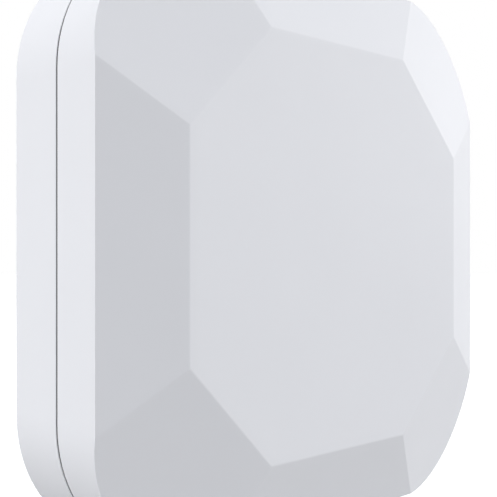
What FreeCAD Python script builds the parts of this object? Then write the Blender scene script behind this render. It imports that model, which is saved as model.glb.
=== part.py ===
# Wireless air sensor for a wall: a faceted front cover and a rear housing that hangs on a wall plate.
#
# Frame: X runs to the right seen from the front, Z up, and Y into the wall. The origin is the centre of the
# wall plate's back face, which lies on the wall. "Depth" is the distance out from the wall, so it is -Y.

import FreeCAD, Part
import math
import os
import re

import Sketcher


# Driving dimensions, in millimetres and degrees
SIZES = {
    # casing: the room beside the cells' bay gives its width, and the stack of pieces gives its depth
    "side_room": 11.5,
    "corner_radius": 19.3,
    "casing_wall": 2.4,
    "front_wall": 2.0,
    "rim_rise": 0.8,
    "seam_gap": 0.3,
    "seam_bevel": 0.06,
    "back_bevel": 0.3,
    "clearance": 0.3,
    "overrun": 1.0,
    # front facets: how far in from the wall the flat begins, how far its corners are cut, and the slopes
    "facet_width": 11.7,
    "flat_corner": 14.9,
    "side_slope": 18.5,
    "corner_slope": 15.9,
    "facet_overrun": 6.0,
    "crease_radius": 1.2,
    # lip of the rear housing inside the cover
    "cover_skin": 1.1,
    "lip_height": 1.8,
    # wall plate
    "plate_side_gap": 3.6,
    "plate_lift_gap": 0.6,
    "plate_radius": 13.0,
    "plate_thickness": 2.0,
    "plate_gap": 0.3,
    "plate_bevel": 0.3,
    "box_screw_spacing": 60.0,
    "box_slot_length": 6.0,
    "wall_screw_spacing": 44.0,
    "wall_hole_width": 4.2,
    "wall_head_width": 8.0,
    "wall_head_depth": 1.1,
    # hooks of the wall plate
    "hook_edge": 1.0,
    "hook_width": 5.0,
    "hook_stem": 2.4,
    "upper_hook_z": 12.0,
    "lower_hook_z": -18.0,
    "hook_lip_thickness": 1.4,
    "lift_travel": 6.0,
    # rear housing
    "floor_thickness": 1.8,
    "boss_radius": 4.0,
    "board_boss_radius": 2.8,
    "cradle_across": 14.0,
    "cradle_thickness": 1.6,
    "cradle_height": 5.0,
    "cradle_margin": 0.9,
    # screws that hold the cover
    "cover_head_radius": 2.3,
    "cover_head_height": 1.5,
    "cover_shank_radius": 1.25,
    "cover_shank_length": 10.0,
    "cover_seat_depth": 2.0,
    "cover_seat_radius": 2.6,
    "cover_hole_radius": 1.4,
    "socket_radius": 1.1,
    "socket_depth": 0.8,
    # cover bosses and their inserts
    "cover_boss_radius": 3.4,
    "insert_radius": 1.9,
    "insert_length": 5.0,
    "insert_inset": 0.2,
    "insert_fit": 0.06,
    "boss_bore_depth": 5.4,
    # circuit board
    "board_rise": 3.3,
    "board_thickness": 1.6,
    "board_inset": 1.0,
    "board_gap": 0.5,
    "bay_margin": 0.8,
    # screws that hold the board
    "arm_screw_x": 35.0,
    "arm_screw_z": 1.0,
    "foot_screw_x": 22.0,
    "foot_screw_z": -34.5,
    "board_head_radius": 2.0,
    "board_head_height": 1.3,
    "board_shank_radius": 1.0,
    "board_shank_length": 4.0,
    "board_hole_radius": 1.2,
    # cells and their contacts
    "cell_diameter": 14.5,
    "cell_length": 50.5,
    "cell_nub_radius": 2.75,
    "cell_nub_length": 1.2,
    "cell_shoulder": 0.7,
    "cell_foot_radius": 4.6,
    "cell_foot_rise": 0.25,
    "cell_gap": 0.2,
    "cell_spacing": 1.1,
    "lower_cell_z": 6.4,
    "spring_length": 4.7,
    "contact_thickness": 0.5,
    "contact_half_width": 4.2,
    "contact_reach": 5.3,
    "contact_foot": 4.0,
    "contact_hem": 1.6,
    "spring_wire": 0.6,
    "spring_base_radius": 3.7,
    "spring_tip_radius": 2.0,
    "spring_turns": 3.0,
    "spring_level_turns": 0.5,
    # cells' foam pads in the cover
    "pad_width": 5.0,
    "pad_thickness": 1.1,
    "pad_gap": 0.3,
    # carbon dioxide sensor
    "co2_x": -8.0,
    "co2_room": 5.2,
    "co2_base_half": 5.4,
    "co2_base_height": 0.8,
    "co2_can_half": 4.9,
    "co2_can_radius": 1.0,
    "co2_can_height": 5.6,
    "co2_filter_radius": 2.6,
    "co2_filter_thickness": 0.3,
    # small air sensors
    "humidity_x": 5.0,
    "gas_x": 11.5,
    "pressure_x": 8.2,
    "air_chip_spread": 3.5,
    "humidity_half": 1.25,
    "gas_half": 1.25,
    "pressure_half": 1.75,
    "air_chip_height": 0.95,
    "air_port_radius": 0.55,
    "air_port_depth": 0.4,
    # main chip
    "chip_x": 1.5,
    "chip_gap": 0.2,
    "chip_half": 3.5,
    "chip_height": 0.9,
    "chip_pads_per_side": 12,
    "chip_pad_pitch": 0.5,
    "chip_pad_width": 0.25,
    "chip_pad_height": 0.2,
    "chip_pad_reach": 0.15,
    # radio module
    "radio_x": 27.5,
    "radio_z": -14.0,
    "radio_half_width": 8.0,
    "radio_half_height": 10.0,
    "radio_board_thickness": 0.8,
    "shield_half_width": 7.2,
    "shield_half_height": 7.2,
    "shield_shift": 2.0,
    "shield_height": 2.1,
    "shield_radius": 0.7,
    # antenna
    "antenna_gap": 1.0,
    "antenna_z": 6.0,
    "antenna_wire": 0.8,
    "antenna_radius": 2.2,
    "antenna_pitch": 2.1,
    "antenna_turns": 8.0,
    "antenna_level_turns": 0.25,
    # storage capacitor
    "capacitor_x": -32.3,
    "capacitor_z": -8.3,
    "capacitor_base_half": 3.3,
    "capacitor_base_height": 0.8,
    "capacitor_radius": 3.1,
    "capacitor_height": 5.4,
    "capacitor_shoulder": 0.3,
    # indicator and its light pipe
    "led_x": 12.5,
    "led_z": -7.0,
    "led_half": 1.4,
    "led_height": 1.5,
    "led_well_radius": 0.9,
    "led_well_depth": 0.4,
    "pipe_radius": 1.5,
    "pipe_gap": 0.6,
    "pipe_boss_radius": 2.7,
    "pipe_boss_height": 4.0,
    "light_window": 0.8,
    # tamper switch and its plunger
    "tamper_x": -24.0,
    "tamper_z": -14.0,
    "tamper_half": 3.2,
    "tamper_height": 3.4,
    "tamper_bore_depth": 1.9,
    "tamper_fit": 0.1,
    "plunger_radius": 1.5,
    "plunger_flange_radius": 2.4,
    "plunger_flange_thickness": 0.7,
    "plunger_flange_rise": 1.3,
    "plunger_insertion": 0.9,
    "plunger_travel": 0.9,
    # service button
    "reset_x": -12.0,
    "reset_z": -8.0,
    "reset_half": 3.0,
    "reset_height": 3.1,
    "reset_bore_depth": 1.9,
    "reset_fit": 0.1,
    "reset_button_radius": 1.75,
    "reset_button_height": 1.2,
    "reset_travel": 0.25,
    # service header
    "header_x": -32.3,
    "header_z": -19.5,
    "header_columns": 2,
    "header_rows": 3,
    "header_pitch": 2.54,
    "header_base_height": 2.5,
    "header_pin_width": 0.64,
    "header_pin_height": 7.0,
    # chip resistors and capacitors
    "chip_part_length": 1.6,
    "chip_part_width": 0.9,
    "chip_part_height": 0.6,
    "chip_part_columns": 4,
    "chip_part_rows": 3,
    "chip_part_pitch_x": 2.6,
    "chip_part_pitch_z": 1.9,
    "chip_parts_x": -7.5,
    "chip_parts_rise": 2.4,
    "radio_parts_x": 14.6,
    "radio_part_columns": 2,
    # air chamber in the cover
    "chamber_side_gap": 0.7,
    "chamber_gap": 1.0,
    "chamber_rib": 1.2,
    "gasket_gap": 0.3,
    # air slots
    "vent_count": 11,
    "vent_pitch": 3.0,
    "vent_width": 1.6,
    "vent_front_gap": 0.5,
    "vent_rise": 0.9,
    "vent_corner_radius": 0.7,
    "mesh_margin": 0.4,
    "mesh_thickness": 0.3,
}

# Formulas for places that several pieces share: first the stack of depths, then the widths
FLOOR_BACK = "(plate_thickness + plate_gap)"
FLOOR_FRONT = f"({FLOOR_BACK} + floor_thickness)"
BOARD_BACK = f"({FLOOR_FRONT} + board_rise)"
BOARD_FRONT = f"({BOARD_BACK} + board_thickness)"
REAR_DEPTH = f"({BOARD_FRONT} + rim_rise)"
LIP_TOP = f"({REAR_DEPTH} + lip_height)"
COVER_RIM = f"({REAR_DEPTH} + seam_gap)"
SEAT = f"({FLOOR_BACK} + cover_seat_depth)"
CELL_AXIS = f"({FLOOR_FRONT} + cell_gap + cell_diameter / 2)"
INNER_FRONT = f"({CELL_AXIS} + cell_diameter / 2 + pad_gap + pad_thickness)"
CASING_DEPTH = f"({INNER_FRONT} + front_wall)"

BAY_HALF = "((cell_length + spring_length) / 2)"
INNER_HALF = f"({BAY_HALF} + contact_thickness + side_room)"
INNER_RADIUS = "(corner_radius - casing_wall)"
HALF = f"({INNER_HALF} + casing_wall)"
LIP_HALF = f"({HALF} - cover_skin - seam_gap)"
LIP_RADIUS = "(corner_radius - cover_skin - seam_gap)"
FLAT_HALF = f"({HALF} - facet_width)"
FLAT_EDGE_HALF = f"({FLAT_HALF} - flat_corner)"
PLATE_HALF_WIDTH = f"({INNER_HALF} - plate_side_gap)"
PLATE_HALF_HEIGHT = f"({INNER_HALF} - lift_travel - plate_lift_gap)"
HOOK_ACROSS = f"({PLATE_HALF_WIDTH} - hook_edge - hook_width / 2)"
UPPER_CELL_Z = "(lower_cell_z + cell_diameter + cell_spacing)"
BAY_BOTTOM = "(lower_cell_z - cell_diameter / 2 - bay_margin)"
COVER_SCREW = f"({UPPER_CELL_Z} + contact_half_width + clearance + boss_radius)"
MESH_HALF = "((vent_count - 1) / 2 * vent_pitch + vent_width / 2 + mesh_margin)"
VENT_START = f"({LIP_TOP} + vent_rise)"
INNER_FLAT_HALF = f"({FLAT_HALF} - front_wall * tan(side_slope / 2))"
WALL_FRONT = f"({INNER_FRONT} - ({INNER_HALF} - {INNER_FLAT_HALF}) * tan(side_slope))"
VENT_LENGTH = f"({WALL_FRONT} - vent_front_gap - mesh_margin - {VENT_START})"
CO2_Z = f"(-{INNER_HALF} + co2_room + co2_base_half)"
CHAMBER_HALF = f"({MESH_HALF} + chamber_side_gap + chamber_rib / 2)"
CHAMBER_TOP = f"({CO2_Z} + co2_base_half + chamber_gap + chamber_rib / 2)"
HUMIDITY_Z = f"({CO2_Z} - air_chip_spread)"
PRESSURE_Z = f"({CO2_Z} + air_chip_spread)"
CHIP_PARTS_Z = f"({CHAMBER_TOP} + chip_parts_rise)"
CHIP_PARTS_TOP = f"({CHIP_PARTS_Z} + (chip_part_rows - 1) * chip_part_pitch_z + chip_part_width / 2)"
CHIP_Z = f"({CHIP_PARTS_TOP} + chip_gap + chip_pad_reach + chip_half)"
CORNERS = [(-1, -1), (1, -1), (1, 1), (-1, 1)]

document = FreeCAD.newDocument("AirSensor")
sheet = document.addObject("Spreadsheet::Sheet", "Sizes")
for row, (alias, amount) in enumerate(SIZES.items(), start=1):
    sheet.set(f"A{row}", alias)
    sheet.set(f"B{row}", str(amount))
    sheet.setAlias(f"B{row}", alias)
document.recompute()

WORD = re.compile(r"[A-Za-z_][A-Za-z_0-9]*")


def formula(text):
    """The same formula with each size written as a cell of the sheet."""

    def cell_name(found):
        word = found.group()
        return "Sizes." + word if word in SIZES else word

    return WORD.sub(cell_name, text)


def value(text):
    """The number that a formula gives at the sheet's present sizes."""
    return float(sheet.evalExpression(formula(text)))


def bind(item, formulas):
    """Ties each named property of an object to its formula."""
    for name, text in formulas.items():
        item.setExpression(name, formula(text))
    return item


# Plain solids


def block(name, x, depth, z):
    """A box between two values along each axis."""
    item = document.addObject("Part::Box", name)
    return bind(
        item,
        {
            "Length": f"({x[1]}) - ({x[0]})",
            "Width": f"({depth[1]}) - ({depth[0]})",
            "Height": f"({z[1]}) - ({z[0]})",
            "Placement.Base.x": x[0],
            "Placement.Base.y": f"-({depth[1]})",
            "Placement.Base.z": z[0],
        },
    )


def square_block(name, x, z, half, depth):
    """A box with a square face, centred at x and z."""
    return block(name, (f"{x} - {half}", f"{x} + {half}"), depth, (f"{z} - {half}", f"{z} + {half}"))


def rod(name, radius, x, z, depth):
    """A cylinder whose axis points out from the wall."""
    item = document.addObject("Part::Cylinder", name)
    item.Placement.Rotation = FreeCAD.Rotation(FreeCAD.Vector(1, 0, 0), 90)
    return bind(
        item,
        {
            "Radius": radius,
            "Height": f"({depth[1]}) - ({depth[0]})",
            "Placement.Base.x": x,
            "Placement.Base.y": f"-({depth[0]})",
            "Placement.Base.z": z,
        },
    )


def cone(name, radii, x, z, depth):
    """A cone whose axis points out from the wall, with its radius at either depth."""
    item = document.addObject("Part::Cone", name)
    item.Placement.Rotation = FreeCAD.Rotation(FreeCAD.Vector(1, 0, 0), 90)
    return bind(
        item,
        {
            "Radius1": radii[0],
            "Radius2": radii[1],
            "Height": f"({depth[1]}) - ({depth[0]})",
            "Placement.Base.x": x,
            "Placement.Base.y": f"-({depth[0]})",
            "Placement.Base.z": z,
        },
    )


def cross_rod(name, radii, side, start, length, depth, z):
    """A cylinder or cone along X that starts at a distance on one side and runs back from there."""
    item = document.addObject("Part::Cone" if radii[0] != radii[1] else "Part::Cylinder", name)
    item.Placement.Rotation = FreeCAD.Rotation(FreeCAD.Vector(0, 1, 0), -90 * side)
    if radii[0] != radii[1]:
        bind(item, {"Radius1": radii[0], "Radius2": radii[1]})
    else:
        bind(item, {"Radius": radii[0]})
    return bind(
        item,
        {
            "Height": length,
            "Placement.Base.x": f"{side} * ({start})",
            "Placement.Base.y": f"-({depth})",
            "Placement.Base.z": z,
        },
    )


def ball(name, radius, x, depth, z):
    """A sphere."""
    item = document.addObject("Part::Sphere", name)
    return bind(
        item,
        {
            "Radius": radius,
            "Placement.Base.x": x,
            "Placement.Base.y": f"-({depth})",
            "Placement.Base.z": z,
        },
    )


def joined(name, items):
    """The items fused into one solid."""
    item = document.addObject("Part::MultiFuse", name)
    item.Shapes = items
    item.Refine = True
    return item


def grouped(name, items):
    """The items kept as separate solids."""
    item = document.addObject("Part::Compound", name)
    item.Links = items
    return item


def cut(name, base, tools):
    """The base with every tool taken out of it."""
    item = document.addObject("Part::Cut", name)
    item.Base = base
    item.Tool = tools[0] if len(tools) == 1 else joined(name + "_tools", tools)
    item.Refine = True
    return item


# Solids drawn as an outline


def origin_feature(body, role):
    """The body's own origin plane or axis of that role."""
    return next(feature for feature in body.Origin.OriginFeatures if feature.Role == role)


def rounded_outline(body, name, plane, half_width, half_height, radius, shift):
    """A rectangle with round corners about the sketch's origin. Shift moves the sketch along its axes."""
    sketch = body.newObject("Sketcher::SketchObject", name)
    sketch.AttachmentSupport = (origin_feature(body, plane), [""])
    sketch.MapMode = "FlatFace"
    for axis, text in zip("xyz", shift):
        sketch.setExpression(f"AttachmentOffset.Base.{axis}", formula(text))
    wide = value(half_width)
    high = value(half_height)
    round_off = value(radius)
    corners = [(wide, -high), (wide, high), (-wide, high), (-wide, -high)]
    out = FreeCAD.Vector(0, 0, 1)
    for index, (x, y) in enumerate(corners):
        before = corners[index - 1]
        along = FreeCAD.Vector(x - before[0], y - before[1], 0).normalize()
        start = FreeCAD.Vector(before[0], before[1], 0) + along * round_off
        end = FreeCAD.Vector(x, y, 0) - along * round_off
        centre = end + out.cross(along) * round_off
        turn = math.radians(90 * index)
        circle = Part.Circle(centre, out, round_off)
        sketch.addGeometry(Part.LineSegment(start, end), False)
        sketch.addGeometry(Part.ArcOfCircle(circle, turn - math.pi / 2, turn), False)
    for index in range(8):
        sketch.addConstraint(Sketcher.Constraint("Tangent", index, 2, (index + 1) % 8, 1))
    for index, way in enumerate(["Horizontal", "Vertical", "Horizontal", "Vertical"]):
        sketch.addConstraint(Sketcher.Constraint(way, 2 * index))
    for index in (3, 5, 7):
        sketch.addConstraint(Sketcher.Constraint("Equal", 1, index))
    held = {
        "radius": (Sketcher.Constraint("Radius", 1, round_off), radius),
        "right": (Sketcher.Constraint("DistanceX", -1, 1, 2, 1, wide), half_width),
        "left": (Sketcher.Constraint("DistanceX", 6, 1, -1, 1, wide), half_width),
        "top": (Sketcher.Constraint("DistanceY", -1, 1, 4, 1, high), half_height),
        "bottom": (Sketcher.Constraint("DistanceY", 0, 1, -1, 1, high), half_height),
    }
    for word, (constraint, text) in held.items():
        index = sketch.addConstraint(constraint)
        sketch.renameConstraint(index, word)
        sketch.setExpression(f"Constraints.{word}", formula(text))
    return sketch


def padded(body, name, sketch, length):
    """The sketch's outline as a solid of that length along the sketch's normal."""
    pad = body.newObject("PartDesign::Pad", name)
    pad.Profile = sketch
    pad.setExpression("Length", formula(length))
    return pad


def bevelled(body, name, base, depth, size):
    """The base with the outline's edges at that depth bevelled."""
    document.recompute()
    level = -value(depth)
    names = [
        f"Edge{index}"
        for index, edge in enumerate(base.Shape.Edges, start=1)
        if all(abs(vertex.Point.y - level) < 1e-6 for vertex in edge.Vertexes)
    ]
    bevel = body.newObject("PartDesign::Chamfer", name)
    bevel.Base = (base, names)
    bevel.setExpression("Size", formula(size))
    return bevel


def rounded_prism(name, half_width, half_height, radius, depth, x="0", z="0", bevels=()):
    """A prism with round corners between two depths, with the edges at the given depths bevelled."""
    body = document.addObject("PartDesign::Body", name)
    bind(body, {"Placement.Base.x": x, "Placement.Base.z": z})
    shift = ("0", "0", depth[0])
    sketch = rounded_outline(body, name + "_outline", "XZ_Plane", half_width, half_height, radius, shift)
    feature = padded(body, name + "_pad", sketch, f"({depth[1]}) - ({depth[0]})")
    for number, (level, size) in enumerate(bevels, start=1):
        feature = bevelled(body, f"{name}_bevel_{number}", feature, level, size)
    return body


def slot(name, x, z, length, width, depth):
    """A long hole along X with round ends."""
    reach = f"({length} - {width}) / 2"
    middle = block(
        name + "_middle",
        (f"{x} - {reach}", f"{x} + {reach}"),
        depth,
        (f"{z} - {width} / 2", f"{z} + {width} / 2"),
    )
    ends = [rod(f"{name}_end_{way}", f"{width} / 2", f"{x} {way} {reach}", z, depth) for way in "-+"]
    return joined(name, [middle] + ends)


def screw(name, x, z, seat, way, sizes):
    """A screw with a hexagon socket. Its head stands on the seat, and its shank runs the given way."""
    head_radius, head_height, shank_radius, shank_length = sizes
    head_end = f"({seat} - {way} * {head_height})"
    head_depth = (head_end, seat) if way > 0 else (seat, head_end)
    shank_end = f"({seat} + {way} * {shank_length})"
    shank_depth = (head_end, shank_end) if way > 0 else (shank_end, head_end)
    head = rod(name + "_head", head_radius, x, z, head_depth)
    shank = rod(name + "_shank", shank_radius, x, z, shank_depth)
    socket = document.addObject("Part::Prism", name + "_socket")
    socket.Polygon = 6
    socket.Placement.Rotation = FreeCAD.Rotation(FreeCAD.Vector(1, 0, 0), 90)
    socket_start = f"({head_end})" if way > 0 else f"({head_end} - socket_depth)"
    bind(
        socket,
        {
            "Circumradius": "socket_radius",
            "Height": "socket_depth",
            "Placement.Base.x": x,
            "Placement.Base.y": f"-({socket_start})",
            "Placement.Base.z": z,
        },
    )
    return cut(name, joined(name + "_blank", [head, shank]), [socket])


# Wound wire


def biarc(start, start_way, end, end_way):
    """Two arcs that join two points, each leaving along the given direction and meeting smoothly."""
    gap = end - start
    ways = start_way + end_way
    a = 2 * (start_way.dot(end_way) - 1)
    b = -2 * gap.dot(ways)
    c = gap.dot(gap)
    reach = c / -b if abs(a) < 1e-9 else (-b - math.sqrt(b * b - 4 * a * c)) / (2 * a)
    first = start + start_way * reach
    second = end - end_way * reach
    meeting = (first + second) * 0.5
    return [arc_with_corner(start, first, meeting), arc_with_corner(meeting, second, end)]


def arc_with_corner(start, corner, end):
    """The arc from start to end whose end tangents meet at the corner, or a line if it is straight."""
    middle = (start + end) * 0.5
    to_corner = corner - middle
    if to_corner.Length < 1e-7:
        return Part.LineSegment(start, end).toShape()
    turn = (corner - start).getAngle(end - corner)
    rise = (end - start).Length / 2 * math.tan(turn / 4)
    return Part.Arc(start, middle + to_corner.normalize() * rise, end).toShape()


def wound_wire(place, turns, leads, wire):
    """A tube along a winding. place(turn) gives a point, and leads are straight runs at its two ends."""
    step = 0.25
    small = 1e-4
    count = round(turns / step)
    points = [place(index * step) for index in range(count + 1)]
    ways = []
    for index in range(count + 1):
        at = index * step
        before = place(max(at - small, 0.0))
        after = place(min(at + small, count * step))
        ways.append((after - before).normalize())
    edges = []
    if leads[0]:
        edges.append(Part.LineSegment(points[0] - ways[0] * leads[0], points[0]).toShape())
    for index in range(count):
        edges += biarc(points[index], ways[index], points[index + 1], ways[index + 1])
    if leads[1]:
        edges.append(Part.LineSegment(points[-1], points[-1] + ways[-1] * leads[1]).toShape())
    path = Part.Wire(edges)
    start = edges[0].Vertexes[0].Point
    profile = Part.Wire([Part.Circle(start, ways[0], wire / 2).toShape()])
    tube = path.makePipeShell([profile], True, False)
    expected = math.pi * (wire / 2) ** 2 * path.Length
    print(f"wound wire: length {path.Length:.1f}, volume {tube.Volume:.2f} against {expected:.2f}")
    per_turn = 16
    along = [place(index / per_turn) for index in range(int(turns * per_turn) + 1)]
    apart = [
        (first - second).Length - wire
        for index, first in enumerate(along)
        for second in along[index + per_turn // 2 :]
    ]
    print(f"wound wire: least gap to itself {min(apart):.2f}")
    return tube


def advance(turn, turns, level):
    """The share of its length that a winding has risen by. It levels off over some turns at both ends."""
    if turn < level:
        risen = turn * turn / (2 * level)
    elif turn > turns - level:
        risen = turns - level - (turns - turn) ** 2 / (2 * level)
    else:
        risen = turn - level / 2
    return risen / (turns - level)


def set_shape(name, shape):
    """An object that holds a shape made above, standing at the frame's origin."""
    item = document.addObject("Part::Feature", name)
    item.Shape = shape
    item.Placement = FreeCAD.Placement()
    return item


# Wall plate


def wall_plate():
    """The moulded plate on the wall, with screw slots, screw holes and four hooks that point up."""
    plate = rounded_prism(
        "plate_panel",
        PLATE_HALF_WIDTH,
        PLATE_HALF_HEIGHT,
        "plate_radius",
        ("0", "plate_thickness"),
        bevels=[("plate_thickness", "plate_bevel")],
    )
    hooks = []
    lip_depth = (f"{FLOOR_FRONT} + clearance", f"{FLOOR_FRONT} + clearance + hook_lip_thickness")
    for level in ("upper_hook_z", "lower_hook_z"):
        for side in (-1, 1):
            name = f"hook_{level}_{side + 1}"
            across = (
                f"{side} * {HOOK_ACROSS} - hook_width / 2",
                f"{side} * {HOOK_ACROSS} + hook_width / 2",
            )
            stem_depth = ("plate_thickness / 2", lip_depth[1])
            stem_top = f"{level} + hook_stem"
            lip_top = f"{stem_top} + lift_travel - 2 * clearance"
            hooks.append(block(name + "_stem", across, stem_depth, (level, stem_top)))
            hooks.append(block(name + "_lip", across, lip_depth, (level, lip_top)))
    through = ("-overrun", "plate_thickness + overrun")
    sunk = ("plate_thickness - wall_head_depth", "plate_thickness + overrun")
    tools = []
    for side in (-1, 1):
        x = f"{side} * box_screw_spacing / 2"
        head_length = "(box_slot_length + wall_head_width - wall_hole_width)"
        tools.append(slot(f"box_slot_{side + 1}", x, "0", "box_slot_length", "wall_hole_width", through))
        tools.append(slot(f"box_sink_{side + 1}", x, "0", head_length, "wall_head_width", sunk))
        z = f"{side} * wall_screw_spacing / 2"
        tools.append(rod(f"wall_hole_{side + 1}", "wall_hole_width / 2", "0", z, through))
        tools.append(rod(f"wall_sink_{side + 1}", "wall_head_width / 2", "0", z, sunk))
    tools.append(tamper_ramp())
    return cut("wall_plate", joined("plate_with_hooks", [plate] + hooks), tools)


def tamper_ramp():
    """The sloped pocket that lets the tamper plunger out as the housing is lifted."""
    slope = "(plunger_travel / lift_travel)"
    radius = "plunger_radius"
    length = f"(lift_travel + {radius} + clearance)"
    start = "tamper_z"
    wedge = document.addObject("Part::Wedge", "tamper_ramp")
    half = f"({radius} + clearance + tamper_fit)"
    bind(
        wedge,
        {
            "Xmin": f"tamper_x - {half}",
            "Xmax": f"tamper_x + {half}",
            "X2min": f"tamper_x - {half}",
            "X2max": f"tamper_x + {half}",
            "Ymin": f"-plate_thickness - {slope} * overrun",
            "Zmin": f"{start} - overrun",
            "Zmax": f"{start} + {length} + clearance",
            "Ymax": f"-plate_thickness + {slope} * {length}",
            "Z2min": f"{start} + {length}",
            "Z2max": f"{start} + {length} + clearance",
        },
    )
    return wedge


# Rear housing


def cell_hollows(name):
    """The space of both cells, with their clearance."""
    return [
        cross_rod(
            f"{name}_{word}",
            ("cell_diameter / 2 + cell_gap", "cell_diameter / 2 + cell_gap"),
            1,
            BAY_HALF,
            f"2 * {BAY_HALF}",
            CELL_AXIS,
            z,
        )
        for word, z in (("lower", "lower_cell_z"), ("upper", UPPER_CELL_Z))
    ]


def board_screw_places():
    """Where the four screws of the board stand."""
    return [
        (f"{side} * {x}", z)
        for x, z in (("arm_screw_x", "arm_screw_z"), ("foot_screw_x", "foot_screw_z"))
        for side in (-1, 1)
    ]


def cover_screw_places():
    """Where the four screws of the cover stand."""
    return [(f"{x} * {COVER_SCREW}", f"{z} * {COVER_SCREW}") for x, z in CORNERS]


def rear_housing():
    """The rear shell: side wall, floor, the lip inside the cover, bosses, cradles and the hooks' slots."""
    outer = rounded_prism(
        "rear_outer",
        HALF,
        HALF,
        "corner_radius",
        ("0", REAR_DEPTH),
        bevels=[(REAR_DEPTH, "seam_bevel"), ("0", "back_bevel")],
    )
    lip = rounded_prism("rear_lip", LIP_HALF, LIP_HALF, LIP_RADIUS, (FLOOR_FRONT, LIP_TOP))
    over = f"{LIP_TOP} + overrun"
    hollow = rounded_prism("rear_hollow", INNER_HALF, INNER_HALF, INNER_RADIUS, (FLOOR_FRONT, over))
    recess = rounded_prism("rear_recess", INNER_HALF, INNER_HALF, INNER_RADIUS, ("-overrun", FLOOR_BACK))
    kept = []
    tools = [recess]
    for number, (x, z) in enumerate(cover_screw_places(), start=1):
        kept.append(rod(f"rear_boss_{number}", "boss_radius", x, z, (FLOOR_BACK, REAR_DEPTH)))
        sink = (f"{FLOOR_BACK} - overrun", SEAT)
        tools.append(rod(f"cover_screw_sink_{number}", "cover_seat_radius", x, z, sink))
        tools.append(rod(f"cover_screw_hole_{number}", "cover_hole_radius", x, z, (FLOOR_BACK, over)))
    for number, (x, z) in enumerate(board_screw_places(), start=1):
        kept.append(rod(f"board_boss_{number}", "board_boss_radius", x, z, (FLOOR_BACK, BOARD_BACK)))
        pilot = (f"{BOARD_FRONT} - board_shank_length", over)
        tools.append(rod(f"board_pilot_{number}", "board_shank_radius", x, z, pilot))
    cradle_z = (
        "lower_cell_z - cell_diameter / 2 + cradle_margin",
        f"{UPPER_CELL_Z} + cell_diameter / 2 - cradle_margin",
    )
    cradle_depth = (FLOOR_BACK, f"{FLOOR_FRONT} + cradle_height")
    ribs = [
        block(
            f"cradle_rib_{side + 1}",
            (
                f"{side} * cradle_across - cradle_thickness / 2",
                f"{side} * cradle_across + cradle_thickness / 2",
            ),
            cradle_depth,
            cradle_z,
        )
        for side in (-1, 1)
    ]
    kept.append(cut("cradles", grouped("cradle_ribs", ribs), cell_hollows("cradle_space")))
    for level in ("upper_hook_z", "lower_hook_z"):
        for side in (-1, 1):
            half = "(hook_width / 2 + clearance)"
            across = (f"{side} * {HOOK_ACROSS} - {half}", f"{side} * {HOOK_ACROSS} + {half}")
            height = (f"{level} - lift_travel - clearance", f"{level} + hook_stem + clearance")
            depth = (f"{FLOOR_BACK} - overrun", f"{FLOOR_FRONT} + overrun")
            tools.append(block(f"hook_slot_{level}_{side + 1}", across, depth, height))
    hole = "plunger_radius + clearance"
    depth = (f"{FLOOR_BACK} - overrun", f"{FLOOR_FRONT} + overrun")
    tools.append(rod("plunger_hole", hole, "tamper_x", "tamper_z", depth))
    tools.append(cut("rear_space", hollow, kept))
    return cut("rear_housing", joined("rear_blank", [outer, lip]), tools)


def cover_screws():
    """Four captive screws that pull the cover's bosses on from behind."""
    sizes = ("cover_head_radius", "cover_head_height", "cover_shank_radius", "cover_shank_length")
    screws = [
        screw(f"cover_screw_{number}", x, z, SEAT, 1, sizes)
        for number, (x, z) in enumerate(cover_screw_places(), start=1)
    ]
    return grouped("cover_screws", screws)


# Circuit board


def main_board():
    """The board: U-shaped round the cells, with its corners cut back round the cover's bosses."""
    half = f"({INNER_HALF} - board_inset)"
    radius = f"({INNER_RADIUS} - board_inset)"
    board = rounded_prism("board_blank", half, half, radius, (BOARD_BACK, BOARD_FRONT))
    through = (f"{BOARD_BACK} - overrun", f"{BOARD_FRONT} + overrun")
    bay = f"({BAY_HALF} + contact_thickness + clearance)"
    tools = [block("board_bay", (f"-{bay}", bay), through, (BAY_BOTTOM, HALF))]
    near = f"({COVER_SCREW} - boss_radius - board_gap)"
    for number, (x, z) in enumerate(CORNERS, start=1):
        across = (near, HALF) if x > 0 else (f"-{HALF}", f"-{near}")
        height = (near, HALF) if z > 0 else (f"-{HALF}", f"-{near}")
        tools.append(block(f"board_notch_{number}", across, through, height))
    for number, (x, z) in enumerate(board_screw_places(), start=1):
        tools.append(rod(f"board_screw_hole_{number}", "board_hole_radius", x, z, through))
    tools.append(rod("board_plunger_hole", "plunger_radius + clearance", "tamper_x", "tamper_z", through))
    return cut("main_board", board, tools)


def board_screws():
    """Four small screws that hold the board on its bosses."""
    sizes = ("board_head_radius", "board_head_height", "board_shank_radius", "board_shank_length")
    screws = [
        screw(f"board_screw_{number}", x, z, BOARD_FRONT, -1, sizes)
        for number, (x, z) in enumerate(board_screw_places(), start=1)
    ]
    return grouped("board_screws", screws)


# Cells and contacts


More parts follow.
